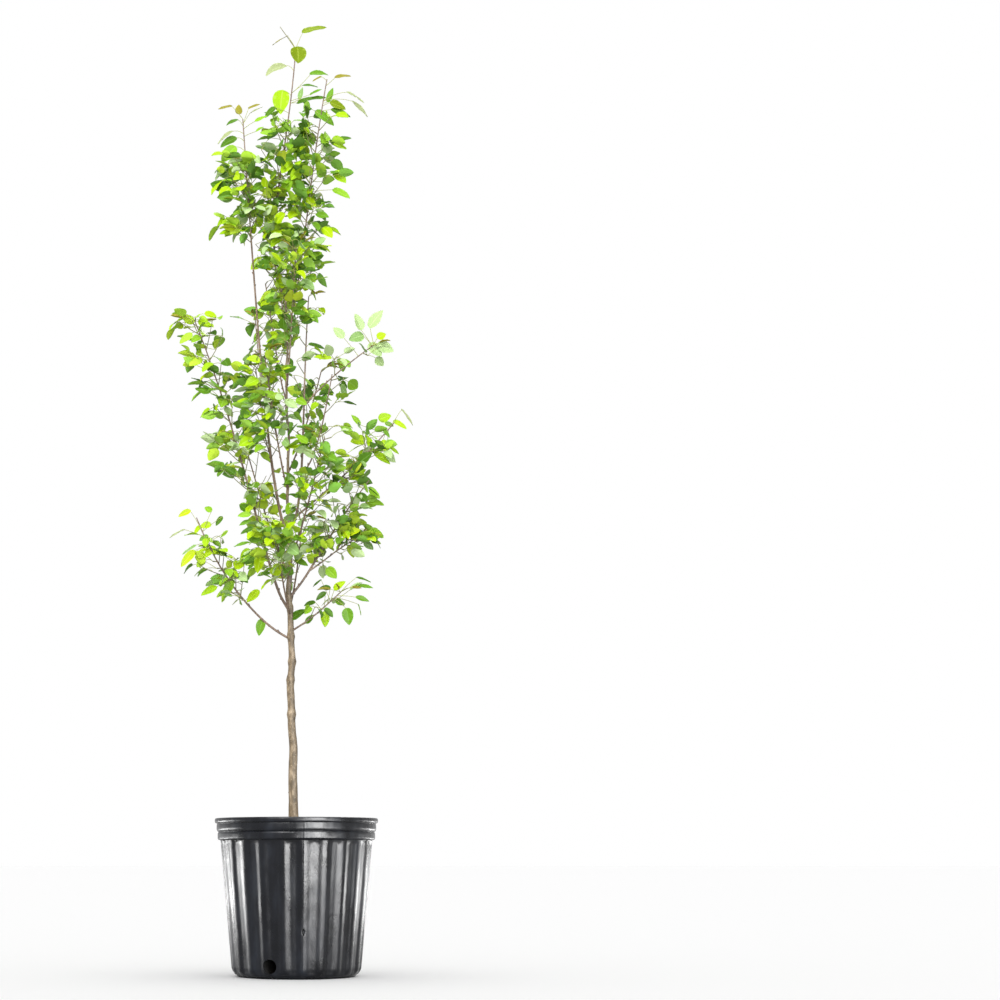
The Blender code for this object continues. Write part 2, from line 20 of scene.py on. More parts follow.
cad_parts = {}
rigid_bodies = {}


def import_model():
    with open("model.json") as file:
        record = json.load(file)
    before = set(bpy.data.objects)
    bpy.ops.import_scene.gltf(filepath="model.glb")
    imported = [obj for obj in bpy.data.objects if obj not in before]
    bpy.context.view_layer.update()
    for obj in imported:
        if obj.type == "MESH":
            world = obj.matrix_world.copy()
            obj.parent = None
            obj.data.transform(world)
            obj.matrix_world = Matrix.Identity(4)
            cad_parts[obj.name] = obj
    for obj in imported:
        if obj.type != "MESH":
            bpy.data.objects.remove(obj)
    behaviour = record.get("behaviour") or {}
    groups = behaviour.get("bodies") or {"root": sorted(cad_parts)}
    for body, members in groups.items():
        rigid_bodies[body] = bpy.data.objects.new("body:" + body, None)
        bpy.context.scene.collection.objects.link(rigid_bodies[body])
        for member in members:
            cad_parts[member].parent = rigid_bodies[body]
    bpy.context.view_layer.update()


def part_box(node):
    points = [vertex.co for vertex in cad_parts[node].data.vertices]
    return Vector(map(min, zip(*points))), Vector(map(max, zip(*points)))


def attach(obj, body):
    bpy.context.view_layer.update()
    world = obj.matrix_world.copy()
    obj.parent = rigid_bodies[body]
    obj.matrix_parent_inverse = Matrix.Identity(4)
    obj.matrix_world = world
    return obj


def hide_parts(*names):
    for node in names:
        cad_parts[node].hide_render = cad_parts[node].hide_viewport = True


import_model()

UP = Vector((0.0, 0.0, 1.0))
MM = 0.001

# Camera, at the height and distance that the photograph's view of the rim and the foot gives
CAMERA_PLACE = Vector((0.0, -3.6, 0.2))
CAMERA_PITCH = 10.3             # degrees up
CAMERA_LENS = 71.53             # on a sensor 36 mm wide
FRAME_SHIFT = 0.2036            # the tree stands left of the picture's middle

# Pot
POT_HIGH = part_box("pot")[1]
LIP_RADIUS = POT_HIGH.x
POT_HEIGHT = POT_HIGH.z
WALL = 2.2 * MM
FLUTES = 22
FLUTE_DEPTH = 3.2 * MM
VALLEY_HALF = 0.285             # from the middle of a valley to the middle of its side, in flutes
VALLEY_SIDE = 0.34              # width of the side between ridge and valley, in flutes
FLUTE_ARCH_HEIGHT = 0.2270      # where the valleys start to round off to their tops
FIRST_VALLEY = 267.5            # heading of the valley nearest the front
SEAM_HEADING = 275.7            # where the two halves of the mould met, on a ridge
SEAMS = (SEAM_HEADING, SEAM_HEADING + 180.0)
SEAM_PLACES = (-0.70, -0.42, -0.20, 0.0, 0.20, 0.42, 0.70)     # degrees from a seam where its relief is cut
SEAM_WIDTH = 0.8 * MM
SEAM_PROUD = 0.35 * MM
NICK_HEIGHT = 0.0800
NICK_SIZE = 3.4 * MM
NICK_NARROW = 0.4               # its width as a share of its height
NICK_DEPTH = 2.2 * MM
NICK_EDGE = 0.02                # inside this share of its depth the plastic is torn and dull, and painted near-black as the nick's shade
HOLE_RADIUS = 12.0 * MM
HOLE_HEIGHT = 0.0215
HOLE_PLACE_RADIUS = 0.1145
HOLE_HEADINGS = (246.0, 6.0, 126.0)
HOLE_HOLLOW = 0.075             # how far the soil has washed out behind a hole
HOLE_DRILL = 30 * MM

PLACES_PER_FLUTE = 18
WALL_STEP, NICK_STEP, ARCH_STEP = 7 * MM, 0.8 * MM, 1.0 * MM
NICK_ZONE = 3 * NICK_SIZE
ARCH_ZONE = 6 * MM
SHOULDER = 0.2365               # where the fluted wall ends under the band
BODY_LOW = Vector((0.1145, 0.0120))     # radius and height where the fluted wall starts, and ends
BODY_HIGH = Vector((0.1348, 0.2290))
BODY_LEAN = (BODY_HIGH.x - BODY_LOW.x) / (BODY_HIGH.y - BODY_LOW.y)
FLUTED = (BODY_LOW.y - 8 * MM, 0.2366)  # heights between which the flutes show, and the seams
SEAMED = (6 * MM, 0.2655)
FLUTES_DEEPEN = (4 * MM, 9 * MM)        # where the flutes start at the foot, and over what height
# Corners of the outline, from the foot up: radius, height and how far each is rounded
FOOT_CORNERS = (
    (0.1010, 0.0, 0.0), (0.1040, 0.0, 0.0012), (0.1050, 0.0030, 0.0010), (0.1085, 0.0042, 0.0016),
    (0.1145, 0.0120, 0.0060), (0.1145 + 0.010 * BODY_LEAN, 0.0220, 0.0))
BAND_CORNERS = (
    (0.1405, 0.2376, 0.0030), (0.1407, 0.2492, 0.0030), (0.1386, 0.2510, 0.0014), (0.1414, 0.2524, 0.0012),
    (0.1428, 0.2560, 0.0030), (0.1424, 0.2640, 0.0030), (0.1418, 0.2662, 0.0010))
LIP_CORNERS = (
    (LIP_RADIUS, 0.2668, 0.0040), (LIP_RADIUS, POT_HEIGHT, 0.0044), (0.1405, POT_HEIGHT, 0.0034),
    (0.1378, 0.2700, 0.0030), (0.1366, 0.2400, 0.0))
INSIDE = [Vector((BODY_HIGH.x - WALL, 0.2290)), Vector((0.1222, 0.1000)),
          Vector((BODY_LOW.x - WALL, BODY_LOW.y)), Vector((0.1040, 0.0045))]

# Soil
SOIL_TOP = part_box("soil")[1].z
SOIL_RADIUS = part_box("soil")[1].x
SOIL_RELIEF = 2.4 * MM
SOIL_FOOT = [(0.1015, 0.0050), (0.1080, 0.0120)]        # radius and height
SOIL_SHOULDER = [(0.1255, 0.2200), (0.1350, 0.2400), (SOIL_RADIUS, 0.2440)]
SOIL_WIDENS = 0.0175 / 0.208    # from the foot to the shoulder
HOLE_ZONE = 0.0440              # up to here the rings stand closer, for the hollows behind the holes
CRUMBLY_ABOVE = 0.2435
CRUMB_WIDE, CRUMB_FINE = 9 * MM, 4 * MM
# Below this height the soil is painted near-black: painted shade deep in the pot, seen through the drain
# holes.
PAINTED_SHADE_BELOW = 0.180
CHIP_COUNT = 620
CHIP_LENGTH = (3.0 * MM, 11.0 * MM)
CHIP_SHRINK = (0.5, 1.0)
CHIP_WIDTH = (0.35, 0.7)        # share of the length
CHIP_THICKNESS = (0.8, 2.2)     # millimetres
CHIP_DENTS = (0.8, 1.2)
CHIP_TILT = 0.35                # radians, either way
SOIL_PLACES = 128
SOIL_RINGS = 42

# Trunk, heights from the floor, as in the solids
TRUNK_FOOT = SOIL_TOP + 0.3 * MM
TRUNK_FORK = 0.782
TRUNK_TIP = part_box("trunk")[1].z
TRUNK_RINGS = 32
RING_CROWDING = 1.15
TRUNK_OFFSET = -0.004
TRUNK_LEAN = -0.016
TRUNK_WAVER = 0.0016
WAVER_LENGTH = 0.190
QUICK_WAVER = 2.3
DEPTH_WAVER = 0.61
FOOT_RADIUS = 0.0088
FORK_RADIUS = 0.0041
LEADER_RADIUS = 0.0028
TRUNK_TIP_RADIUS = 0.0020
FLARE = 0.0034
FLARE_HEIGHT = 0.016
KNOT_HEIGHTS = (0.461, 0.523, 0.556, 0.602, 0.655)
KNOT_SIZE = 1.9 * MM             # a little prouder and shorter in the bark than in the solid
KNOT_LENGTH = 6.0 * MM
TRUNK_RELIEF = 0.55 * MM         # how far the bark swells and sinks, over lumps of the grain's size
TRUNK_GRAIN = 0.018
GRAIN_ALONG = (0.45, 0.6)        # the wide and the fine lumps are this much drawn out along the wood
FINE_GRAIN = 0.3
TRUNK_SIDES, LIMB_SIDES, STEM_SIDES, TWIG_SIDES = 28, 14, 9, 6
TRUNK_STEP, LIMB_STEP, STEM_STEP = 2.2 * MM, 3 * MM, 5 * MM     # from ring to ring
FINE_TRUNK_RINGS = 200
LIMB_RELIEF, STEM_RELIEF = 0.14 * MM, 0.12 * MM
TRUNK_SCARS = 16
LIMB_SCARS = 1.4                # to each ring of the limb's coarse line

# Leaf scars on the wood
SCAR_JITTER = 15.0
SCAR_SUNK = 0.86                # share of the wood's radius where a scar starts
SCAR_SIZE = 0.0022
SCAR_OUT = 0.75                 # how far a bud leans away from the wood
SCAR_RADII = (0.0006, 0.0012, 0.0011, 0.0004)

# Limbs, as in the solids
CURVE_STEPS = 96
RING_STEP = 0.036
LAST_ARM = 0.48
TIP_RADIUS = 0.0010

# foot: height on the parent; arm: length over which the first lift holds;
# reach and top: where the tip ends; radius: at the foot; bare: share with no leaves;
# buds: leafing places on the rest; spread: longest side shoot.
Limb = namedtuple("Limb", "name parent foot heading lift arm reach top tip_lift radius bare buds spread")

LIMBS = (
    Limb("low_left", "trunk", 0.596, 191, 25, 0.060, 0.176, 0.816, 68, 0.0022, 0.42, 12, 0.070),
    Limb("low_right", "trunk", 0.611, 352, 30, 0.040, 0.092, 0.682, 42, 0.0018, 0.26, 8, 0.060),
    Limb("low_front", "trunk", 0.640, 258, 30, 0.050, 0.122, 0.785, 62, 0.0018, 0.32, 9, 0.055),
    Limb("left_long", "trunk", 0.646, 168, 45, 0.060, 0.186, 1.208, 68, 0.0026, 0.13, 24, 0.066),
    Limb("low_back", "trunk", 0.655, 81, 35, 0.050, 0.150, 0.840, 62, 0.0019, 0.30, 10, 0.060),
    Limb("right_fork", "trunk", 0.672, 8, 47, 0.060, 0.150, 0.895, 52, 0.0023, 0.32, 12, 0.060),
    Limb("back_left", "trunk", 0.715, 128, 42, 0.050, 0.140, 0.985, 66, 0.0020, 0.28, 10, 0.055),
    Limb("front_right", "trunk", 0.742, 302, 46, 0.050, 0.118, 0.950, 64, 0.0018, 0.26, 11, 0.055),
    Limb("leader_left", "trunk", 0.782, 184, 52, 0.060, 0.090, 1.590, 86, 0.0027, 0.70, 14, 0.066),
    Limb("leader_right", "trunk", 0.792, 350, 58, 0.060, 0.036, 1.240, 94, 0.0025, 0.52, 10, 0.055),
    Limb("right_rising", "leader_right", 0.822, 16, 42, 0.060, 0.192, 1.010, 50, 0.0020, 0.26, 15, 0.060),
    Limb("mid_front", "trunk", 0.872, 250, 45, 0.050, 0.122, 1.100, 66, 0.0017, 0.24, 11, 0.055),
    Limb("mid_back", "trunk", 0.905, 62, 48, 0.050, 0.136, 1.130, 64, 0.0017, 0.26, 10, 0.055),
    Limb("high_back", "trunk", 1.040, 118, 52, 0.040, 0.088, 1.290, 72, 0.0015, 0.24, 9, 0.055),
    Limb("high_front", "trunk", 1.060, 282, 52, 0.040, 0.084, 1.310, 72, 0.0015, 0.22, 10, 0.055),
    Limb("top_left", "trunk", 1.180, 128, 56, 0.040, 0.036, 1.500, 84, 0.0014, 0.14, 10, 0.055),
    Limb("top_right", "trunk", 1.180, 350, 58, 0.050, 0.078, 1.668, 80, 0.0016, 0.14, 20, 0.064),
    Limb("right_side", "right_fork", 0.722, 4, 34, 0.040, 0.094, 0.788, 30, 0.0015, 0.44, 6, 0.050),
    Limb("right_inner", "leader_right", 0.897, 356, 48, 0.040, 0.058, 1.090, 80, 0.0016, 0.30, 8, 0.050),
    Limb("right_high", "leader_right", 1.030, 348, 50, 0.040, 0.132, 1.140, 34, 0.0014, 0.40, 8, 0.046),
    Limb("left_inner", "leader_left", 0.930, 238, 42, 0.030, 0.054, 1.090, 72, 0.0012, 0.0, 8, 0.050),
    Limb("left_upper", "leader_left", 1.040, 112, 48, 0.030, 0.052, 1.215, 76, 0.0011, 0.0, 7, 0.045),
)

# The middle leader goes on from the trunk's tip, first to the left and then to the top.
CROWN_TOP = Limb("crown_top", "trunk", TRUNK_TIP, 178, 64, 0.120, -0.022, 1.768, 87, 0.0019, 0.0, 21, 0.064)

# The leaves at the leaders' tips and on the more open limbs can be told apart in the photograph, so
# each has its own place, listed here: height of its root on the limb; base and tip of the blade seen
# from the front; width as a share of its length; bend; how far it faces the front; rise of its
# stalk's bow; tint. The row with no width is a bare stalk whose leaf has dropped.
LoneLeaf = namedtuple("LoneLeaf", "root base_x base_z tip_x tip_z width arch facing bow tint")

LONE_LEAVES = {
    "crown_top": (
        (1.735, 0.000, 1.740, -0.030, 1.785, 0.00, 0, 0.00, 0.000, ""),
        (1.735, -0.015, 1.760, -0.050, 1.745, 0.24, 14, 0.40, 0.000, "young_bronze"),
        (1.735, 0.010, 1.765, 0.060, 1.780, 0.34, 20, 0.60, 0.000, "olive_green"),
        (1.730, 0.002, 1.740, 0.003, 1.705, 0.95, 10, 1.00, 0.004, "olive_green"),
        (1.690, -0.018, 1.703, -0.064, 1.673, 0.36, 42, 0.60, 0.008, "dusty_green"),
        (1.640, -0.026, 1.656, -0.030, 1.606, 0.68, 14, 0.95, 0.006, "bright_green"),
        (1.605, -0.040, 1.620, -0.060, 1.597, 0.45, 16, 0.70, 0.002, "dark_green"),
        (1.645, 0.010, 1.658, 0.042, 1.652, 0.28, 22, 0.50, 0.002, "dark_green"),
        (1.630, 0.025, 1.638, 0.050, 1.646, 0.40, 12, 0.60, 0.000, "deep_green"),
        (1.625, 0.000, 1.626, 0.060, 1.632, 0.26, 26, 0.60, 0.002, "dark_green"),
        (1.625, 0.010, 1.632, 0.022, 1.616, 0.60, 10, 0.80, 0.000, "dark_green"),
        (1.625, 0.006, 1.634, 0.012, 1.660, 0.42, 6, 0.80, 0.000, "grey_green"),
        (1.645, 0.025, 1.685, 0.067, 1.691, 0.32, 38, 0.70, -0.004, "deep_green"),
        (1.545, 0.000, 1.552, 0.035, 1.573, 0.42, 12, 0.80, 0.000, "dark_green"),
        (1.575, -0.006, 1.587, 0.015, 1.584, 0.32, 14, 0.50, 0.000, "grey_green"),
    ),
    "top_right": (
        (1.665, 0.048, 1.672, 0.030, 1.663, 0.34, 16, 0.60, 0.002, "young_bronze"),
        (1.655, 0.072, 1.673, 0.105, 1.675, 0.36, 24, 0.60, -0.002, "young_bronze"),
        (1.625, 0.095, 1.640, 0.130, 1.620, 0.28, 16, 0.50, 0.008, "dusty_green"),
        (1.625, 0.105, 1.624, 0.136, 1.590, 0.32, 12, 0.50, 0.008, "dusty_green"),
        (1.615, 0.063, 1.620, 0.095, 1.608, 0.60, 12, 0.80, 0.000, "olive_green"),
        (1.605, 0.065, 1.606, 0.104, 1.592, 0.38, 14, 0.80, 0.000, "dark_green"),
        (1.595, 0.035, 1.605, 0.072, 1.576, 0.42, 22, 0.85, 0.002, "deep_green"),
        (1.620, 0.060, 1.622, 0.070, 1.652, 0.42, 8, 0.80, 0.000, "deep_green"),
        (1.595, 0.030, 1.608, 0.010, 1.603, 0.50, 10, 0.70, 0.002, "dark_green"),
        (1.545, 0.075, 1.547, 0.107, 1.547, 0.38, 16, 0.80, 0.002, "dark_green"),
        (1.550, 0.060, 1.560, 0.040, 1.556, 0.40, 12, 0.60, 0.000, "dark_green"),
        (1.480, 0.070, 1.486, 0.094, 1.462, 0.62, 14, 0.90, 0.002, "bright_green"),
        (1.445, 0.068, 1.450, 0.102, 1.430, 0.42, 18, 0.75, 0.002, "fresh_green"),
    ),
    "leader_left": (
        (1.590, -0.110, 1.602, -0.110, 1.622, 0.72, 4, 0.90, 0.000, "young_bronze"),
        (1.590, -0.122, 1.614, -0.150, 1.604, 0.28, 12, 0.60, 0.002, "young_bronze"),
        (1.580, -0.092, 1.609, -0.068, 1.620, 0.28, 10, 0.60, 0.000, "young_bronze"),
        (1.580, -0.090, 1.602, -0.061, 1.611, 0.24, 8, 0.50, 0.000, "dusty_green"),
        (1.575, -0.110, 1.587, -0.134, 1.573, 0.36, 30, 0.60, 0.004, "dark_green"),
        (1.560, -0.120, 1.567, -0.152, 1.543, 0.34, 30, 0.60, 0.006, "dusty_green"),
        (1.545, -0.113, 1.556, -0.145, 1.534, 0.44, 22, 0.80, 0.006, "dark_green"),
        (1.525, -0.115, 1.536, -0.142, 1.501, 0.55, 12, 0.95, 0.006, "fresh_green"),
        (1.555, -0.078, 1.567, -0.060, 1.574, 0.42, 12, 0.70, 0.002, "fresh_green"),
        (1.570, -0.080, 1.584, -0.055, 1.594, 0.36, 10, 0.70, 0.002, "fresh_green"),
    ),
    "right_high": (
        # The pale tints here are painted highlight: leaves washed out by strong light.
        (1.138, 0.120, 1.165, 0.107, 1.196, 0.62, 10, 0.95, 0.002, "pale_green"),
        (1.140, 0.135, 1.172, 0.162, 1.204, 0.55, 12, 0.90, 0.002, "pale_green"),
        (1.138, 0.125, 1.158, 0.095, 1.146, 0.65, 12, 0.90, 0.002, "grey_green"),
        (1.120, 0.088, 1.153, 0.068, 1.173, 0.62, 10, 0.95, 0.002, "pale_green"),
        (1.140, 0.149, 1.152, 0.166, 1.160, 0.85, 10, 0.90, 0.000, "lime_green"),
        (1.138, 0.133, 1.143, 0.158, 1.120, 0.70, 12, 0.90, 0.000, "pale_green"),
        (1.140, 0.149, 1.142, 0.181, 1.130, 0.72, 12, 0.90, 0.000, "pale_green"),
        (1.105, 0.066, 1.118, 0.031, 1.119, 0.38, 14, 0.80, 0.000, "lime_green"),
    ),
    "leader_right": (
        (1.140, 0.022, 1.148, 0.055, 1.140, 0.32, 16, 0.70, 0.002, "dark_green"),
    ),
    "right_rising": (
        (0.990, 0.120, 1.006, 0.103, 1.027, 0.42, 12, 0.80, 0.000, "fresh_green"),
        (1.005, 0.155, 1.018, 0.179, 1.027, 0.78, 10, 0.90, 0.000, "bright_green"),
        (1.005, 0.166, 1.010, 0.183, 1.004, 0.60, 10, 0.85, 0.000, "deep_green"),
        (1.008, 0.182, 1.016, 0.208, 0.998, 0.36, 16, 0.75, 0.002, "lime_green"),
        (1.008, 0.197, 1.038, 0.220, 1.003, 0.15, 14, 0.50, 0.002, "dusty_green"),
        (0.995, 0.163, 0.997, 0.175, 0.980, 0.40, 12, 0.80, 0.002, "deep_green"),
        (0.985, 0.130, 0.979, 0.101, 0.974, 0.72, 12, 0.90, 0.002, "lime_green"),
        (0.995, 0.161, 0.976, 0.172, 0.947, 0.50, 12, 0.85, 0.002, "lime_green"),
        (0.998, 0.170, 0.969, 0.193, 0.950, 0.28, 12, 0.70, 0.002, "bright_green"),
        (0.965, 0.145, 0.952, 0.176, 0.927, 0.40, 14, 0.80, 0.002, "bright_green"),
    ),
    "low_right": (
        (0.613, -0.010, 0.634, 0.020, 0.649, 0.52, 12, 0.80, 0.000, "dark_green"),
        (0.620, 0.017, 0.626, 0.033, 0.643, 0.50, 10, 0.80, 0.000, "deep_green"),
        (0.640, 0.050, 0.648, 0.052, 0.618, 0.60, 12, 0.90, 0.002, "bright_green"),
        (0.670, 0.090, 0.653, 0.096, 0.621, 0.68, 12, 0.95, 0.004, "deep_green"),
        (0.672, 0.112, 0.662, 0.118, 0.640, 0.22, 10, 0.40, 0.002, "fresh_green"),
        (0.675, 0.107, 0.672, 0.133, 0.664, 0.42, 14, 0.75, 0.002, "deep_green"),
        (0.682, 0.107, 0.695, 0.143, 0.688, 0.26, 14, 0.60, 0.002, "deep_green"),
        (0.682, 0.108, 0.709, 0.137, 0.698, 0.20, 12, 0.50, 0.002, "dark_green"),
        (0.665, 0.068, 0.685, 0.090, 0.700, 0.55, 12, 0.85, 0.000, "lime_green"),
        (0.660, 0.063, 0.690, 0.042, 0.691, 0.52, 12, 0.80, 0.002, "dark_green"),
        (0.655, 0.054, 0.682, 0.034, 0.665, 0.40, 14, 0.75, 0.002, "dark_green"),
        (0.650, 0.035, 0.665, 0.013, 0.658, 0.45, 14, 0.80, 0.002, "dark_green"),
        (0.665, 0.071, 0.668, 0.087, 0.660, 0.78, 8, 0.85, 0.000, "deep_green"),
        (0.660, 0.062, 0.671, 0.044, 0.656, 0.20, 10, 0.50, 0.000, "dusty_green"),
        (0.665, 0.046, 0.705, 0.029, 0.690, 0.22, 10, 0.50, 0.000, "dark_green"),
    ),
    "right_fork": (
        (0.735, 0.055, 0.728, 0.074, 0.708, 0.72, 12, 0.95, 0.002, "fresh_green"),
    ),
    "low_front": (
        (0.745, -0.060, 0.760, -0.090, 0.767, 0.50, 14, 0.80, 0.002, "deep_green"),
        (0.750, -0.083, 0.761, -0.113, 0.753, 0.26, 12, 0.65, 0.002, "deep_green"),
        (0.735, -0.072, 0.747, -0.103, 0.735, 0.30, 14, 0.70, 0.002, "dark_green"),
        (0.725, -0.074, 0.739, -0.099, 0.724, 0.30, 14, 0.70, 0.002, "deep_green"),
        (0.715, -0.076, 0.724, -0.088, 0.713, 0.40, 12, 0.75, 0.002, "deep_green"),
        (0.735, -0.061, 0.744, -0.070, 0.706, 0.55, 12, 0.90, 0.002, "lime_green"),
        (0.760, -0.041, 0.768, -0.043, 0.747, 0.85, 10, 0.90, 0.000, "lime_green"),
        (0.770, -0.013, 0.777, -0.028, 0.744, 0.62, 12, 0.90, 0.000, "deep_green"),
        (0.775, -0.076, 0.785, -0.100, 0.772, 0.35, 14, 0.75, 0.002, "dark_green"),
        (0.780, -0.081, 0.796, -0.103, 0.788, 0.40, 14, 0.80, 0.002, "deep_green"),
        (0.785, -0.081, 0.807, -0.105, 0.803, 0.50, 12, 0.85, 0.002, "fresh_green"),
        (0.780, -0.057, 0.787, -0.075, 0.788, 0.50, 12, 0.75, 0.000, "dark_green"),
        (0.720, -0.003, 0.733, 0.023, 0.719, 0.40, 14, 0.80, 0.002, "deep_green"),
    ),
    "low_left": (
        (0.790, -0.192, 0.828, -0.215, 0.815, 0.45, 12, 0.85, 0.002, "yellow_green"),
        (0.790, -0.154, 0.828, -0.168, 0.835, 0.80, 8, 0.90, 0.002, "fresh_green"),
        (0.790, -0.155, 0.805, -0.177, 0.798, 0.60, 12, 0.85, 0.000, "lime_green"),
        (0.785, -0.175, 0.802, -0.187, 0.788, 0.60, 10, 0.85, 0.000, "lime_green"),
        (0.790, -0.135, 0.820, -0.147, 0.802, 0.50, 10, 0.75, 0.002, "dark_green"),
        (0.775, -0.160, 0.783, -0.177, 0.773, 0.55, 12, 0.85, 0.002, "deep_green"),
        (0.755, -0.149, 0.763, -0.168, 0.742, 0.50, 12, 0.90, 0.002, "lime_green"),
        (0.765, -0.184, 0.756, -0.210, 0.724, 0.40, 14, 0.85, 0.002, "yellow_green"),
        (0.770, -0.182, 0.767, -0.211, 0.750, 0.25, 14, 0.60, 0.002, "grey_green"),
        (0.780, -0.203, 0.795, -0.234, 0.776, 0.15, 10, 0.40, 0.002, "dusty_green"),
        (0.770, -0.124, 0.791, -0.140, 0.779, 0.40, 12, 0.80, 0.000, "fresh_green"),
        (0.628, -0.061, 0.634, -0.068, 0.602, 0.55, 12, 0.90, 0.002, "deep_green"),
        (0.665, -0.067, 0.684, -0.090, 0.661, 0.50, 14, 0.85, 0.002, "lime_green"),
        (0.700, -0.115, 0.699, -0.134, 0.664, 0.45, 16, 0.85, 0.002, "fresh_green"),
        (0.700, -0.144, 0.692, -0.174, 0.675, 0.42, 16, 0.80, 0.002, "bright_green"),
        (0.715, -0.122, 0.722, -0.143, 0.719, 0.36, 14, 0.60, 0.000, "grey_green"),
        (0.695, -0.085, 0.710, -0.103, 0.701, 0.60, 10, 0.80, 0.000, "dark_green"),
        (0.665, -0.105, 0.668, -0.117, 0.657, 0.26, 10, 0.50, 0.000, "dusty_green"),
    ),
}
LONE_DEPTH = 0.010             # how far their bases stand before or behind the stem
LONE_TURN = 26.0               # how far they point to the front or the back
LONE_STALK = (1.1 * MM, 0.7 * MM)
LONE_LIFT = 0.44                # share of its bend by which a blade starts above its run
LONE_FOLD = (6.0, 20.0)

# Where the photograph shows sky through the crown, read to the nearest 5 mm: the middle of
# each gap as the camera sees it in the plane of the trunk, across and up, and half its width and
# height. No leaf hangs there.
SKY_GAPS = (
    (-0.095, 1.560, 0.020, 0.030), (0.080, 1.570, 0.020, 0.020), (0.040, 1.570, 0.015, 0.015),
    (0.060, 1.450, 0.010, 0.020), (-0.125, 1.420, 0.015, 0.015), (-0.110, 1.315, 0.020, 0.015),
    (-0.070, 1.270, 0.025, 0.030), (-0.110, 1.155, 0.025, 0.035), (0.030, 1.175, 0.025, 0.015),
    (0.080, 1.150, 0.020, 0.020), (0.025, 1.095, 0.015, 0.015), (0.050, 1.085, 0.015, 0.015),
    (-0.170, 1.040, 0.020, 0.015), (-0.155, 0.995, 0.025, 0.010), (0.085, 1.015, 0.030, 0.020),
    (0.065, 0.970, 0.020, 0.020), (-0.040, 0.965, 0.010, 0.025), (-0.135, 0.935, 0.020, 0.015),
    (-0.075, 0.915, 0.020, 0.020), (0.145, 0.925, 0.020, 0.015), (-0.120, 0.870, 0.025, 0.030),
    (0.090, 0.860, 0.015, 0.010), (0.145, 0.815, 0.015, 0.020), (-0.110, 0.790, 0.020, 0.045),
    (-0.145, 0.730, 0.020, 0.020), (0.015, 0.715, 0.020, 0.030), (0.090, 0.720, 0.020, 0.020),
    (0.020, 0.670, 0.020, 0.015), (0.100, 0.670, 0.015, 0.020), (-0.040, 0.640, 0.025, 0.030),
)

# How the limbs' own buds break: the finer twigs and the leaves
SEED = 0
SPARSE, OPEN, EVEN, DENSE = 0.3, 0.8, 1.3, 2.4   # leafing places here for each on the solids
BUD_TURN = 144.0                # each stands two fifths of a turn from the last
BUD_JITTER = 24.0
SHOOT_EVERY = 2                 # every second is a side shoot, the others short spurs
TRIES = 5                       # sides that a leaf or a shoot tries
RETRY_TURN = 67.0
SHOOT_SHARE = (0.50, 1.00)      # length of a side shoot, as a share of the limb's longest
SHOOT_TAPER = 0.25              # how much shorter the side shoots are at the limb's tip
SHOOT_FORWARD = 0.70            # how far a side shoot leans along its limb, and how far it rises
SHOOT_RISE = 0.25
SHOOT_CURL = 0.16               # how far it bends up, as a share of its length
SHOOT_RADIUS = (0.95 * MM, 0.6 * MM)
SHOOT_STEPS = 6
NODE_STEP = 0.021               # from leaf to leaf along a shoot
SPUR_LENGTH = (4.0 * MM, 14.0 * MM)
SPUR_RADIUS = (1.1 * MM, 0.9 * MM)
SPUR_FORWARD = 0.5
SPUR_WAIST = 0.8                # where a spur is thinner, and how thin
ROSETTE = (2, 4)                # leaves that spread from one bud
ROSETTE_JITTER = 22.0
ROSETTE_FORWARD = (0.0, 1.2)
OWN_TINT = 0.30                 # share of the leaves that differ from their spray
TOWARD_LIGHT = 0.35             # pull of the leaves away from the trunk
LIGHT_DISTANCE = 0.11
FACE_OUT = 0.9                  # how far the blades face outward as well as up
LEAF_FORWARD = 0.40             # how far a leaf leans along its twig
LEAF_JITTER = 16.0

STALK_LENGTH = (0.011, 0.027)
STALK_RADIUS = (0.60 * MM, 0.45 * MM)
STALK_LIFT = (-5.0, 60.0)       # how steeply a stalk leaves its twig
LOW_BLADE = 0.0268              # mean length of a blade in the lowest leaves, and at the top
HIGH_BLADE = 0.0300
BLADE_LEVELS = (0.60, 1.65)
BLADE_SPREAD = (0.75, 1.20)
BLADE_WIDTH = (0.54, 0.74)      # share of the length
BLADE_START = (-42.0, 40.0)     # angle of the blade where the stalk enters it
BLADE_ARCH = (4.0, 32.0)        # how far the blade bends down on the way to its tip
BLADE_FOLD = (3.0, 26.0)        # how far the halves rise from the midrib
BLADE_TILT = 52.0               # usual turn about its own midrib, either way
BLADE_TWIST = 16.0              # further turn on the way to the tip
BLADE_WAVE = 0.035              # height of the margin's waves, as a share of the length
WAVE_SHARE = (0.2, 1.0)
WAVES = 9.0                     # how fast the waves follow one another along the margin
FULL_PHASE = 6.28
BLADE_QUILT = 0.008             # how far the blade swells between its side veins, likewise
BLADE_THICKNESS = 0.40 * MM
YOUNG_SIZE = (0.70, 1.00)       # the narrow, folded leaves at the tips
YOUNG_WIDTH = (0.28, 0.44)
YOUNG_START = (0.0, 48.0)
YOUNG_FOLD = (30.0, 54.0)

LEAF_AIR = 2.0 * MM             # air between a blade and the wood of the limbs
REACH_AIR = 5.0 * MM            # how far a leaf may pass the box of the solids that it stands for
WOOD_STEP = 0.004               # distance between the points where wood is looked for


# Colours and materials

def linear(code):
    """An sRGB hex colour as linear red, green, blue and alpha."""
    parts = [int(code[i:i + 2], 16) / 255 for i in (0, 2, 4)]
    return (*[c / 12.92 if c <= 0.04045 else ((c + 0.055) / 1.055) ** 2.4 for c in parts], 1.0)


def node(tree, kind, inputs=None, **settings):
    """Add a node. An input takes a plain value or another node's output."""
    made = tree.nodes.new(kind)
    for name, value in settings.items():
        setattr(made, name, value)
    for name, value in (inputs or {}).items():
        if isinstance(value, bpy.types.NodeSocket):
            tree.links.new(value, made.inputs[name])
        else:
            made.inputs[name].default_value = value
    return made


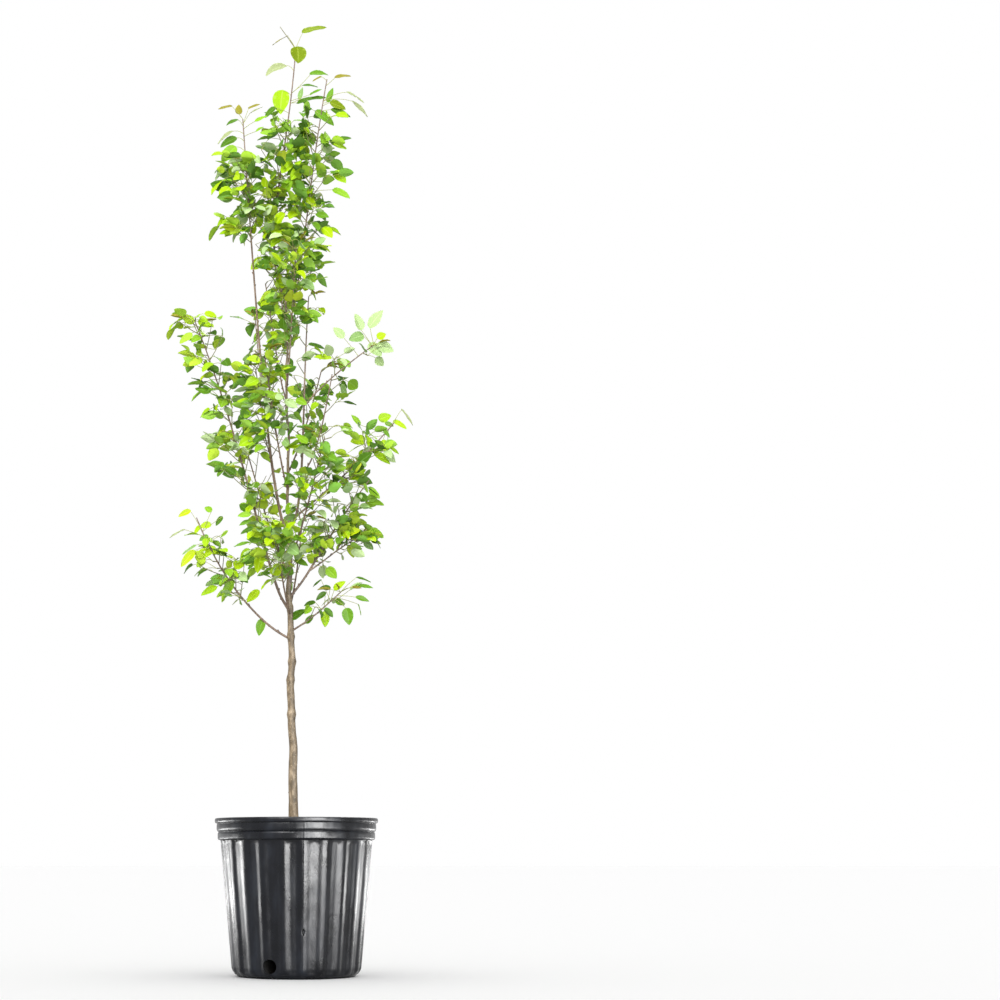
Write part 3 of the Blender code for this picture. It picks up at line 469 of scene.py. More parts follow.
def start_material(name, **values):
    """A material with its Principled shader's plain values set."""
    made = bpy.data.materials.new(name)
    made.use_nodes = True
    tree = made.node_tree
    shader = tree.nodes["Principled BSDF"]
    for key, value in values.items():
        shader.inputs[key.replace("_", " ")].default_value = value
    made.diffuse_color = shader.inputs["Base Color"].default_value
    return made, tree, shader


def stretched(tree, size, squash=(1.0, 1.0, 1.0)):
    """Object coordinates where one unit is a pattern's real size, stretched along some axes."""
    place = node(tree, "ShaderNodeTexCoord")
    scale = [1.0 / (size * part) for part in squash]
    mapped = node(tree, "ShaderNodeMapping", {"Vector": place.outputs["Object"], "Scale": scale})
    return mapped.outputs["Vector"]


def lumps(tree, size, squash=(1.0, 1.0, 1.0), detail=4.0, roughness=0.5):
    """Noise in soft lumps of a real size, stretched along some axes."""
    made = node(tree, "ShaderNodeTexNoise", {
        "Vector": stretched(tree, size, squash), "Scale": 1.0, "Detail": detail, "Roughness": roughness})
    return made.outputs["Fac"]


def raise_bumps(tree, shader, height, strength, distance):
    """Let a pattern stand out of the surface, as high as the real relief."""
    bump = node(tree, "ShaderNodeBump", {"Height": height, "Strength": strength, "Distance": distance})
    tree.links.new(bump.outputs["Normal"], shader.inputs["Normal"])


def blend(tree, share, colours, stops):
    """Colours along a ramp that a pattern drives."""
    ramp = node(tree, "ShaderNodeValToRGB", {"Fac": share})
    ends = ramp.color_ramp.elements
    while len(ends) < len(colours):
        ends.new(0.5)
    for end, colour, stop in zip(ends, colours, stops):
        end.position = stop
        end.color = linear(colour) if isinstance(colour, str) else (colour, colour, colour, 1.0)
    return ramp.outputs["Color"]


def blow_moulded_polyethylene():
    """Black blow-moulded polyethylene: semi-gloss, with orange peel and faint dust."""
    made, tree, shader = start_material("black_polyethylene_blow_moulded", Specular_IOR_Level=0.25)
    # Dust and scuffs lie in soft patches a few centimetres long, drawn down the wall.
    dust = lumps(tree, 30.0 * MM, (1.0, 1.0, 2.6), 4.0, 0.6)
    tree.links.new(blend(tree, dust, ("040509", "080a10", "12161d"), (0.34, 0.52, 0.72)),
                   shader.inputs["Base Color"])
    tree.links.new(blend(tree, dust, (0.24, 0.38), (0.36, 0.66)), shader.inputs["Roughness"])
    # Orange peel from the mould's blasted surface, some 2.5 mm from bump to bump.
    peel = lumps(tree, 2.5 * MM, (1.0, 1.0, 1.7), 2.0)
    # The wall sags a little between the flutes as it cools, in waves 20 mm long, six times as high.
    sag = lumps(tree, 20.0 * MM, (1.0, 1.0, 2.2), 1.0)
    height = node(tree, "ShaderNodeMath", {0: sag, 1: 6.0, 2: peel}, operation="MULTIPLY_ADD")
    raise_bumps(tree, shader, height.outputs[0], 0.7, 0.26 * MM)
    return made


def bark_and_peat_mix(name, colours):
    """Composted bark and peat: crumbly and dull, brown with paler fibres above; its near-black colours paint
    the shade low in the pot.
    """
    made, tree, shader = start_material(name, Roughness=0.95, Specular_IOR_Level=0.2)
    crumb = lumps(tree, 4.0 * MM, detail=6.0, roughness=0.7)
    tree.links.new(blend(tree, crumb, colours, (0.35, 0.52, 0.70)), shader.inputs["Base Color"])
    raise_bumps(tree, shader, crumb, 0.9, 1.2 * MM)
    return made


def bark_chip(name, colours):
    """Chips of pine bark on the soil: brown and dull, streaked along their grain."""
    made, tree, shader = start_material(name, Roughness=0.9)
    streak = lumps(tree, 2.5 * MM)
    tree.links.new(blend(tree, streak, colours, (0.35, 0.65)), shader.inputs["Base Color"])
    return made


def pear_bark(name, colours, roughness):
    """Smooth young pear bark: satin grey-brown, mottled, with pale corky lenticels across it."""
    made, tree, shader = start_material(name, Roughness=roughness, Specular_IOR_Level=0.2)
    mottle = lumps(tree, 7.0 * MM, (1.0, 1.0, 2.6), 6.0, 0.66)
    skin = blend(tree, mottle, colours, (0.30, 0.50, 0.70))
    # Lenticels are corky dots 1 mm high and 2 mm wide, one every 5 mm or so.
    cells = node(tree, "ShaderNodeTexVoronoi", {
        "Vector": stretched(tree, 5.0 * MM, (1.3, 1.3, 0.8)), "Scale": 1.0, "Randomness": 1.0})
    dots = blend(tree, cells.outputs["Distance"], (1.0, 0.0), (0.12, 0.22))
    mixed = node(tree, "ShaderNodeMix", {0: dots, 6: skin, 7: linear("8c7e66")}, data_type="RGBA")
    tree.links.new(mixed.outputs[2], shader.inputs["Base Color"])
    relief = node(tree, "ShaderNodeMath", {0: mottle, 1: dots}, operation="ADD")
    raise_bumps(tree, shader, relief.outputs[0], 0.4, 0.25 * MM)
    return made


def plain(name, colour, roughness, specular=0.5):
    """A surface of one even colour, such as one tint of leaf: waxy above and matt below."""
    made, _, _ = start_material(
        name, Base_Color=linear(colour), Roughness=roughness, Specular_IOR_Level=specular)
    return made


# Meshes

def heading_vector(heading, lift=0.0):
    """Unit vector for a compass heading and a lift above the horizontal."""
    turn, rise = math.radians(heading), math.radians(lift)
    return Vector((math.cos(turn) * math.cos(rise), math.sin(turn) * math.cos(rise), math.sin(rise)))


def side_of(along, turn):
    """Unit vector square to a direction, turned about it."""
    return Matrix.Rotation(math.radians(turn), 3, along) @ along.orthogonal().normalized()


def smooth(value):
    """Soft step from 0 to 1."""
    value = min(1.0, max(0.0, value))
    return value * value * (3.0 - 2.0 * value)


def bent(start, middle, end, steps):
    """Points of an even bend from one place to another, pulled toward a third."""
    line = []
    for step in range(steps + 1):
        t = step / steps
        line.append((1 - t) ** 2 * start + 2 * t * (1 - t) * middle + t * t * end)
    return line


def taper(thick, thin, steps):
    """Radii that shrink evenly along a line."""
    return [thick + (thin - thick) * step / steps for step in range(steps + 1)]


class Pile:
    """Faces that are gathered for one joined mesh, with a material for each."""

    def __init__(self, finishes):
        self.finishes = finishes
        self.points = []
        self.faces = []
        self.slots = []

    def add(self, points, faces, slots):
        start = len(self.points)
        self.points.extend(points)
        self.faces.extend(tuple(start + i for i in face) for face in faces)
        self.slots.extend(slots)

    def make(self, name, crisp=38.0):
        """Turn the pile into an object, shaded smooth but for its sharper edges."""
        mesh = bpy.data.meshes.new(name)
        mesh.from_pydata(self.points, [], self.faces)
        for finish in self.finishes:
            mesh.materials.append(finish)
        mesh.polygons.foreach_set("material_index", self.slots)
        mesh.shade_smooth()
        mesh.set_sharp_from_angle(angle=math.radians(crisp))
        mesh.validate()
        made = bpy.data.objects.new(name, mesh)
        bpy.context.scene.collection.objects.link(made)
        return made


def hand_over(piece, slot_name, *nodes):
    """Ride a finished piece on the frame and let it stand for its nodes."""
    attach(piece, "root")
    if nodes:
        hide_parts(*nodes)


def lattice(rings):
    """Points and faces of a closed solid through rings of equal count, capped flat at both ends."""
    count = len(rings[0])
    points = [point for ring in rings for point in ring]
    faces = [tuple(reversed(range(count)))]
    for level in range(len(rings) - 1):
        low = level * count
        for i in range(count):
            j = (i + 1) % count
            faces.append((low + i, low + j, low + count + j, low + count + i))
    faces.append(tuple(range(len(points) - count, len(points))))
    return points, faces


# The pot

def rounded(corners, steps=4):
    """A profile of (radius, height, rounding) corners, with each corner eased by a curve."""
    profile = []
    for i, (radius, height, rounding) in enumerate(corners):
        corner = Vector((radius, height))
        if rounding == 0.0 or i in (0, len(corners) - 1):
            profile.append(corner)
            continue
        before = Vector(corners[i - 1][:2]) - corner
        after = Vector(corners[i + 1][:2]) - corner
        start = corner + min(rounding, 0.5 * before.length) * before.normalized()
        end = corner + min(rounding, 0.5 * after.length) * after.normalized()
        profile.extend(bent(start, corner, end, steps))
    return profile


def subdivided(low, high, step):
    """Heights from low to high, a step apart, both ends left out."""
    count = max(1, round((high - low) / step))
    return [low + (high - low) * i / count for i in range(1, count)]


def valley_depth(angle, radius, height):
    """How far the wall is drawn in at a place: full in a valley, none on a ridge or above the arch."""
    pitch = 2.0 * math.pi / FLUTES
    place = (angle - math.radians(FIRST_VALLEY)) / pitch
    across = abs(place - round(place))
    above = max(0.0, height - FLUTE_ARCH_HEIGHT) / (pitch * radius)
    inside = VALLEY_HALF - math.hypot(across, above)
    return FLUTE_DEPTH * smooth(inside / VALLEY_SIDE + 0.5)


def turn_from(angle, heading):
    """How far round the pot a place lies from a heading, either way, in radians."""
    return (angle - math.radians(heading) + math.pi) % (2.0 * math.pi) - math.pi


def nick_share(angle, radius, height):
    """How deep a place lies in the nick of the front seam: 1 in its middle, 0 outside."""
    across = turn_from(angle, SEAM_HEADING) * radius / (NICK_NARROW * NICK_SIZE)
    up = (height - NICK_HEIGHT) / NICK_SIZE
    return math.exp(-(across ** 2 + up ** 2))


def seam_relief(angle, radius, height):
    """The mould seam stands proud on two sides of the pot; a nick in the front one is cut back."""
    rise = 0.0
    for side in SEAMS:
        across = turn_from(angle, side) * radius / SEAM_WIDTH
        rise += SEAM_PROUD * math.exp(-across * across)
        if side == SEAM_HEADING:
            rise -= NICK_DEPTH * nick_share(angle, radius, height)
    return rise


def wall_outline():
    """Outside of the wall from the foot over the lip, finest at the nick and where the flutes end."""
    nick_low, nick_high = NICK_HEIGHT - NICK_ZONE, NICK_HEIGHT + NICK_ZONE
    arch_low = FLUTE_ARCH_HEIGHT - ARCH_ZONE
    heights = subdivided(BODY_LOW.y, nick_low, WALL_STEP) + subdivided(nick_low, nick_high, NICK_STEP)
    heights += subdivided(nick_high, arch_low, WALL_STEP) + subdivided(arch_low, SHOULDER, ARCH_STEP)
    outside = rounded(FOOT_CORNERS)[:-1]
    foot_end = outside[-1].y + 1 * MM
    outside += [Vector((BODY_LOW.x + BODY_LEAN * (h - BODY_LOW.y), h)) for h in heights if h > foot_end]
    edge = outside[-1]
    shoulder = ((edge.x, edge.y, 0.0), (edge.x + 0.0006, SHOULDER + 0.0003, 0.0012))
    return outside + rounded(shoulder + BAND_CORNERS + LIP_CORNERS, 6)[1:]


def drill_holes(pot):
    """Cut the drain holes through the wall."""
    cutters = []
    for heading in HOLE_HEADINGS:
        bpy.ops.mesh.primitive_cylinder_add(vertices=48, radius=HOLE_RADIUS, depth=HOLE_DRILL)
        cutter = bpy.context.object
        cutter.location = HOLE_PLACE_RADIUS * heading_vector(heading) + HOLE_HEIGHT * UP
        cutter.rotation_euler = heading_vector(heading).to_track_quat("Z", "Y").to_euler()
        cut = pot.modifiers.new("drain", "BOOLEAN")
        cut.operation = "DIFFERENCE"
        cut.object = cutter
        cutters.append(cutter)
    graph = bpy.context.evaluated_depsgraph_get()
    holed = bpy.data.meshes.new_from_object(pot.evaluated_get(graph))
    pot.modifiers.clear()
    pot.data = holed
    for cutter in cutters:
        bpy.data.objects.remove(cutter)


def make_pot(plastic, nick_shade_plastic):
    """Fluted shell with a bead, a groove, a band and a rolled lip, a recessed foot and drain holes."""
    outside = wall_outline()
    count = FLUTES * PLACES_PER_FLUTE
    angles = [2.0 * math.pi * i / count for i in range(count)]
    for side in SEAMS:
        angles += [math.radians(side % 360.0 + off) for off in SEAM_PLACES]
    angles.sort()
    rings = []
    for number, (radius, height) in enumerate(outside + INSIDE):
        outer = number < len(outside)
        fluted = FLUTED[0] < height < FLUTED[1]
        seamed = outer and SEAMED[0] < height < SEAMED[1]
        fade = smooth((height - FLUTES_DEEPEN[0]) / FLUTES_DEEPEN[1]) if outer else 1.0
        ring = []
        for angle in angles:
            reach = radius
            if fluted:
                reach -= fade * valley_depth(angle, radius, height)
            if seamed:
                reach += seam_relief(angle, radius, height)
            ring.append((reach * math.cos(angle), reach * math.sin(angle), height))
        rings.append(ring)
    pile = Pile([plastic, nick_shade_plastic])
    points, faces = lattice(rings)
    # The nick's faces take a dull, near-black plastic: painted shade in the dent.
    nicked = {number for number, (x, y, z) in enumerate(points)
              if nick_share(math.atan2(y, x), math.hypot(x, y), z) > NICK_EDGE}
    pile.add(points, faces, [1 if nicked.issuperset(face) else 0 for face in faces])
    pot = pile.make("nursery_pot", 50.0)
    drill_holes(pot)
    hand_over(pot, "pot", "pot")


def make_soil(mixes, chips):
    """Root ball with a crumbly top, and loose chips of bark on it."""
    chance = random.Random("soil")
    radius, low = SOIL_FOOT[-1]
    side = [(radius + SOIL_WIDENS * (h - low), h) for h in subdivided(low, HOLE_ZONE, 3 * MM)]
    top = [SOIL_RADIUS * (1.0 - i / SOIL_RINGS) for i in range(SOIL_RINGS)]
    rings = []
    for radius, height in SOIL_FOOT + side + SOIL_SHOULDER + [(radius, SOIL_TOP) for radius in top]:
        ring = []
        for i in range(SOIL_PLACES):
            angle = 2.0 * math.pi * i / SOIL_PLACES
            reach = radius
            for heading in HOLE_HEADINGS:
                off = (radius * heading_vector(math.degrees(angle)) + height * UP
                       - HOLE_PLACE_RADIUS * heading_vector(heading) - HOLE_HEIGHT * UP).length
                reach -= HOLE_HOLLOW * math.exp(-(off / (1.2 * HOLE_RADIUS)) ** 4)
            x, y = reach * math.cos(angle), reach * math.sin(angle)
            z = height
            if height > CRUMBLY_ABOVE:
                lump = noise.noise(Vector((x, y, 0.0)) / CRUMB_WIDE)
                lump += 0.5 * noise.noise(Vector((x, y, 1.0)) / CRUMB_FINE)
                z += SOIL_RELIEF * (lump - 0.9) * (1.0 if height == SOIL_TOP else 0.4)
            ring.append((x, y, z))
        rings.append(ring)
    pile = Pile(mixes)
    points, faces = lattice(rings)
    # Faces low in the pot take the near-black mix: painted shade behind the drain holes.
    pile.add(points, faces, [1 if points[face[0]][2] < PAINTED_SHADE_BELOW else 0 for face in faces])
    hand_over(pile.make("root_ball_soil", 60.0), "soil", "soil")
    pile = Pile(chips)
    for _ in range(CHIP_COUNT):
        length = chance.uniform(*CHIP_LENGTH) * chance.uniform(*CHIP_SHRINK)
        size = Vector((length, length * chance.uniform(*CHIP_WIDTH), chance.uniform(*CHIP_THICKNESS) * MM))
        work = bmesh.new()
        bmesh.ops.create_icosphere(work, subdivisions=1, radius=0.5)
        for point in work.verts:
            point.co = Vector(c * s * chance.uniform(*CHIP_DENTS) for c, s in zip(point.co, size))
        reach = (SOIL_RADIUS - 9 * MM) * math.sqrt(chance.random())
        angle = chance.uniform(0.0, 2.0 * math.pi)
        tip = Matrix.Rotation(chance.uniform(-CHIP_TILT, CHIP_TILT), 4, "X")
        tip = tip @ Matrix.Rotation(chance.uniform(-CHIP_TILT, CHIP_TILT), 4, "Y")
        place = Matrix.Translation((reach * math.cos(angle), reach * math.sin(angle), SOIL_TOP - 0.4 * MM))
        work.transform(place @ Matrix.Rotation(chance.uniform(0.0, math.pi), 4, "Z") @ tip)
        kind = chance.randrange(len(chips))
        pile.add([tuple(p.co) for p in work.verts], [[p.index for p in f.verts] for f in work.faces],
                 [kind] * len(work.faces))
        work.free()
    hand_over(pile.make("bark_chips", 25.0), "soil")


# Wood: the trunk and the limbs, on the lines of the solids

def trunk_radius(height):
    """Taper from the soil to the fork, thinner above it, with the root flare and the knots."""
    above = height - TRUNK_FOOT
    if height < TRUNK_FORK:
        radius = FOOT_RADIUS + (FORK_RADIUS - FOOT_RADIUS) * above / (TRUNK_FORK - TRUNK_FOOT)
    else:
        share = (height - TRUNK_FORK) / (TRUNK_TIP - TRUNK_FORK)
        radius = LEADER_RADIUS + (TRUNK_TIP_RADIUS - LEADER_RADIUS) * share
    radius += FLARE * math.exp(-above / FLARE_HEIGHT)
    for knot in KNOT_HEIGHTS:
        radius += KNOT_SIZE * math.exp(-((height - knot) / KNOT_LENGTH) ** 2)
    return radius


def trunk_line(rings=TRUNK_RINGS):
    """Middle points and radii of the trunk, from the soil to its tip."""
    points, radii = [], []
    for i in range(rings):
        share = i / (rings - 1)
        height = TRUNK_FOOT + (TRUNK_TIP - TRUNK_FOOT) * share ** RING_CROWDING
        above = height - TRUNK_FOOT
        phase = 2.0 * math.pi * above / WAVER_LENGTH
        waver = TRUNK_WAVER * min(1.0, above / WAVER_LENGTH)
        sway = math.sin(phase) + 0.5 * math.sin(QUICK_WAVER * phase)
        x = TRUNK_OFFSET + TRUNK_LEAN * share - waver * sway
        y = waver * math.sin(DEPTH_WAVER * phase + 1.0)
        points.append(Vector((x, y, height)))
        radii.append(trunk_radius(height))
    points[1].xy = points[0].xy
    return points, radii


def at_height(line, height):
    """Point where a line of rising points passes a height."""
    points, _ = line
    i = 0
    while i < len(points) - 2 and points[i + 1].z < height:
        i += 1
    low, high = points[i], points[i + 1]
    return low.lerp(high, min(1.0, max(0.0, (height - low.z) / (high.z - low.z))))


def even_points(fine, step):
    """Points about a step apart along a finely stepped line."""
    lengths = [0.0]
    for low, high in zip(fine, fine[1:]):
        lengths.append(lengths[-1] + (high - low).length)
    count = max(4, round(lengths[-1] / step))
    points = []
    at = 0
    for i in range(count + 1):
        target = lengths[-1] * i / count
        while at < len(fine) - 2 and lengths[at + 1] < target:
            at += 1
        share = (target - lengths[at]) / (lengths[at + 1] - lengths[at])
        points.append(fine[at].lerp(fine[at + 1], share))
    return points


def limb_line(limb, parent_line):
    """Middle points and radii of a limb, an easy S from its parent's middle to its tip."""
    start = at_height(parent_line, limb.foot)
    side = heading_vector(limb.heading)
    end = start + limb.reach * side
    end.z = limb.top
    first = start + limb.arm * heading_vector(limb.heading, limb.lift)
    lean = math.copysign(math.cos(math.radians(limb.tip_lift)), limb.reach) * side
    rise = math.sin(math.radians(limb.tip_lift)) * UP
    last = end - LAST_ARM * (end - start).length * (lean + rise)
    fine = []
    for i in range(CURVE_STEPS + 1):
        t = i / CURVE_STEPS
        s = 1.0 - t
        fine.append(s ** 3 * start + 3 * s * s * t * first + 3 * s * t * t * last + t ** 3 * end)
    points = even_points(fine, RING_STEP)
    return points, taper(limb.radius, TIP_RADIUS, len(points) - 1)


def on_line(line, share):
    """Place, direction and radius at a share of a line's points."""
    points, radii = line
    spot = share * (len(points) - 1)
    low = min(int(spot), len(points) - 2)
    part = spot - low
    along = (points[low + 1] - points[low]).normalized()
    return points[low].lerp(points[low + 1], part), along, radii[low] + (radii[low + 1] - radii[low]) * part


def finer(line, step):
    """The same line on a smooth curve through its points, with rings a step apart."""
    points, radii = line
    made, sizes = [], []
    for i in range(len(points) - 1):
        before = points[max(0, i - 1)]
        after = points[min(len(points) - 1, i + 2)]
        parts = max(1, round((points[i + 1] - points[i]).length / step))
        for part in range(parts):
            t = part / parts
            a, b = points[i], points[i + 1]
            curve = 2 * a + (b - before) * t + (2 * before - 5 * a + 4 * b - after) * t * t
            curve += (3 * a - before - 3 * b + after) * t ** 3
            made.append(0.5 * curve)
            sizes.append(radii[i] + (radii[i + 1] - radii[i]) * t)
    return made + [points[-1]], sizes + [radii[-1]]


def bark_tube(pile, line, sides, relief=0.0, grain=0.012, slot_number=0):
    """Closed tube along a line, its skin raised and sunk by the bark's relief."""
    points, radii = line
    rings = []
    across = None
    for i, (point, radius) in enumerate(zip(points, radii)):
        along = (points[min(i + 1, len(points) - 1)] - points[max(i - 1, 0)]).normalized()
        across = along.orthogonal().normalized() if across is None else across - across.dot(along) * along
        across.normalize()
        other = along.cross(across)
        ring = []
        for side in range(sides):
            turn = 2.0 * math.pi * side / sides
            out = math.cos(turn) * across + math.sin(turn) * other
            reach = radius
            if relief:
                spot = point + radius * out
                wide = noise.noise(Vector((spot.x, spot.y, GRAIN_ALONG[0] * spot.z)) / grain)
                fine = noise.noise(Vector((spot.x, spot.y, GRAIN_ALONG[1] * spot.z)) / (FINE_GRAIN * grain))
                reach += relief * (wide + 0.5 * fine)
            ring.append(tuple(point + reach * out))
        rings.append(ring)
    made, faces = lattice(rings)
    pile.add(made, faces, [slot_number] * len(faces))


def bud_scars(pile, line, count, chance):
    """Small shoulders where leaves stood last year, each with its bud above."""
    for number in range(count):
        place, along, radius = on_line(line, (number + 0.6) / count)
        out = side_of(along, BUD_TURN * number + chance.uniform(-SCAR_JITTER, SCAR_JITTER))
        spot = place + SCAR_SUNK * radius * out
        tip = spot + SCAR_SIZE * (along + SCAR_OUT * out)
        line_up = [spot - SCAR_SIZE * along, spot, spot.lerp(tip, 0.6), tip]
        bark_tube(pile, (line_up, SCAR_RADII), 6)


# Foliage

STATIONS = np.array([0.0, 0.06, 0.16, 0.28, 0.42, 0.56, 0.70, 0.82, 0.92, 1.0])
COLUMNS = np.array([-1.0, -0.55, -0.07, 0.07, 0.55, 1.0])
SWELLS = (-0.6, 1.0, 0.0, 0.0, 1.0, -0.6)   # the side veins slant forward to the margin
INNER = (1, 2, 3, 4)
ROWS = len(STATIONS) - 2
OUTLINE = (STATIONS ** 0.55) * (1.0 - STATIONS) ** 0.86
OUTLINE = OUTLINE / OUTLINE.max()
SKY_ROWS = (2, 4, 6, 9)         # where along a blade the sky's gaps are looked for
STALK_SIDES = 5
STALK_STEPS = 5
STALK_GRIP = 0.06               # how far the stalk runs on under its blade

Leaf = namedtuple("Leaf", "root heading lift stalk length width start arch fold tilt twist wave phase tint")


def blade_faces():
    """Faces of one blade, with 0 for the upper side, 1 for the midrib and 2 for the underside."""
    wide = len(COLUMNS)

    def upper(row, column):
        return 2 + row * wide + column

    def lower(row, column):
        if column in (0, wide - 1):
            return upper(row, column)
        return 2 + ROWS * wide + row * len(INNER) + column - 1

    faces, slots = [], []
    for column in range(wide - 1):
        top = 1 if column == 2 else 0
        for side, turned, slot_number in ((upper, False, top), (lower, True, 2)):
            last = ROWS - 1
            fans = [(0, side(0, column + 1), side(0, column)),
                    (1, side(last, column), side(last, column + 1))]
            for row in range(last):
                low_pair = (side(row, column), side(row, column + 1))
                fans.append((*low_pair, side(row + 1, column + 1), side(row + 1, column)))
            for fan in fans:
                faces.append(tuple(reversed(fan)) if turned else fan)
                slots.append(slot_number)
    return faces, slots


BLADE_FACES, BLADE_SLOTS = blade_faces()


def leaf_spine(leaf):
    """Middle line of a leaf's blade and its frames: points, directions, sides and faces' normals."""
    ahead = np.array(heading_vector(leaf.heading))
    rise = np.array(UP)
    side = np.cross(rise, ahead)
    angles = np.radians(leaf.start - leaf.arch * STATIONS ** 1.25)
    directions = np.outer(np.cos(angles), ahead) + np.outer(np.sin(angles), rise)
    normals = np.outer(-np.sin(angles), ahead) + np.outer(np.cos(angles), rise)
    rolls = np.radians(leaf.tilt + leaf.twist * STATIONS)[:, None]
    sides = np.cos(rolls) * side + np.sin(rolls) * normals
    faces_up = np.cos(rolls) * normals - np.sin(rolls) * side
    first = np.array(leaf.root) + 0.5 * leaf.stalk * np.array(heading_vector(leaf.heading, leaf.lift))
    base = first + 0.5 * leaf.stalk * directions[0]
    steps = np.diff(STATIONS)[:, None] * leaf.length * 0.5 * (directions[1:] + directions[:-1])
    points = base + np.vstack([np.zeros(3), np.cumsum(steps, axis=0)])
    return points, directions, sides, faces_up, first


def add_blade(pile, leaf, spine):
    """A closed thin blade: an oval with a drawn-out tip, folded at its midrib, arched and waved."""
    points, _, sides, faces_up, _ = spine
    half = 0.5 * leaf.width * leaf.length * OUTLINE
    fold = math.radians(leaf.fold)
    upper, lower = [], []
    for row in range(1, ROWS + 1):
        ripple = leaf.wave * leaf.length * math.sin(WAVES * STATIONS[row] + leaf.phase)
        swell = (1 if row % 2 else -1) * BLADE_QUILT * leaf.length
        for column, share in enumerate(COLUMNS):
            out = share * half[row] * math.cos(fold) * sides[row]
            lift = abs(share) * half[row] * math.sin(fold) + ripple * share * abs(share)
            lift += swell * SWELLS[column]
            spot = points[row] + out + lift * faces_up[row]
            upper.append(spot)
            if column in INNER:
                lower.append(spot - BLADE_THICKNESS * faces_up[row])
    tint = 3 * leaf.tint
    corners = [tuple(p) for p in [points[0], points[-1]] + upper + lower]
    pile.add(corners, BLADE_FACES, [tint + s for s in BLADE_SLOTS])


def add_stalk(pile, leaf, spine, slot_number):
    """A slender stalk that leaves its twig steeply and bends over into the midrib."""
    points, directions, _, _, first = spine
    root, first = Vector(leaf.root), Vector(first)
    end = Vector(points[0] + STALK_GRIP * leaf.length * directions[0])
    line = bent(root, first, end, STALK_STEPS)
    bark_tube(pile, (line, taper(*STALK_RADIUS, STALK_STEPS)), STALK_SIDES, slot_number=slot_number)


class Crown:
    """Where the wood stands, and which limb each place belongs to."""

    def __init__(self, lines, stems):
        wood = [(point, radius) for line in lines.values() for point, radius in zip(*finer(line, WOOD_STEP))]
        self.wood = KDTree(len(wood))
        self.radii = [radius for _, radius in wood]
        for index, (point, _) in enumerate(wood):
            self.wood.insert(point, index)
        self.wood.balance()
        owned = [(point, name) for name, line in stems.items() for point in finer(line, WOOD_STEP)[0]]
        self.stems = KDTree(len(owned))
        self.names = [name for _, name in owned]
        for index, (point, _) in enumerate(owned):
            self.stems.insert(point, index)
        self.stems.balance()

    def owner(self, point):
        return self.names[self.stems.find(point)[1]]

    def clear(self, point):
        _, index, distance = self.wood.find(point)
        return distance > self.radii[index] + LEAF_AIR


def in_sky(point):
    """Whether the camera sees a point in one of the crown's gaps."""
    share = -CAMERA_PLACE.y / (point.y - CAMERA_PLACE.y)
    seen = CAMERA_PLACE + share * (point - CAMERA_PLACE)
    return any(((seen.x - x) / wide) ** 2 + ((seen.z - z) / high) ** 2 < 1.0
               for x, z, wide, high in SKY_GAPS)


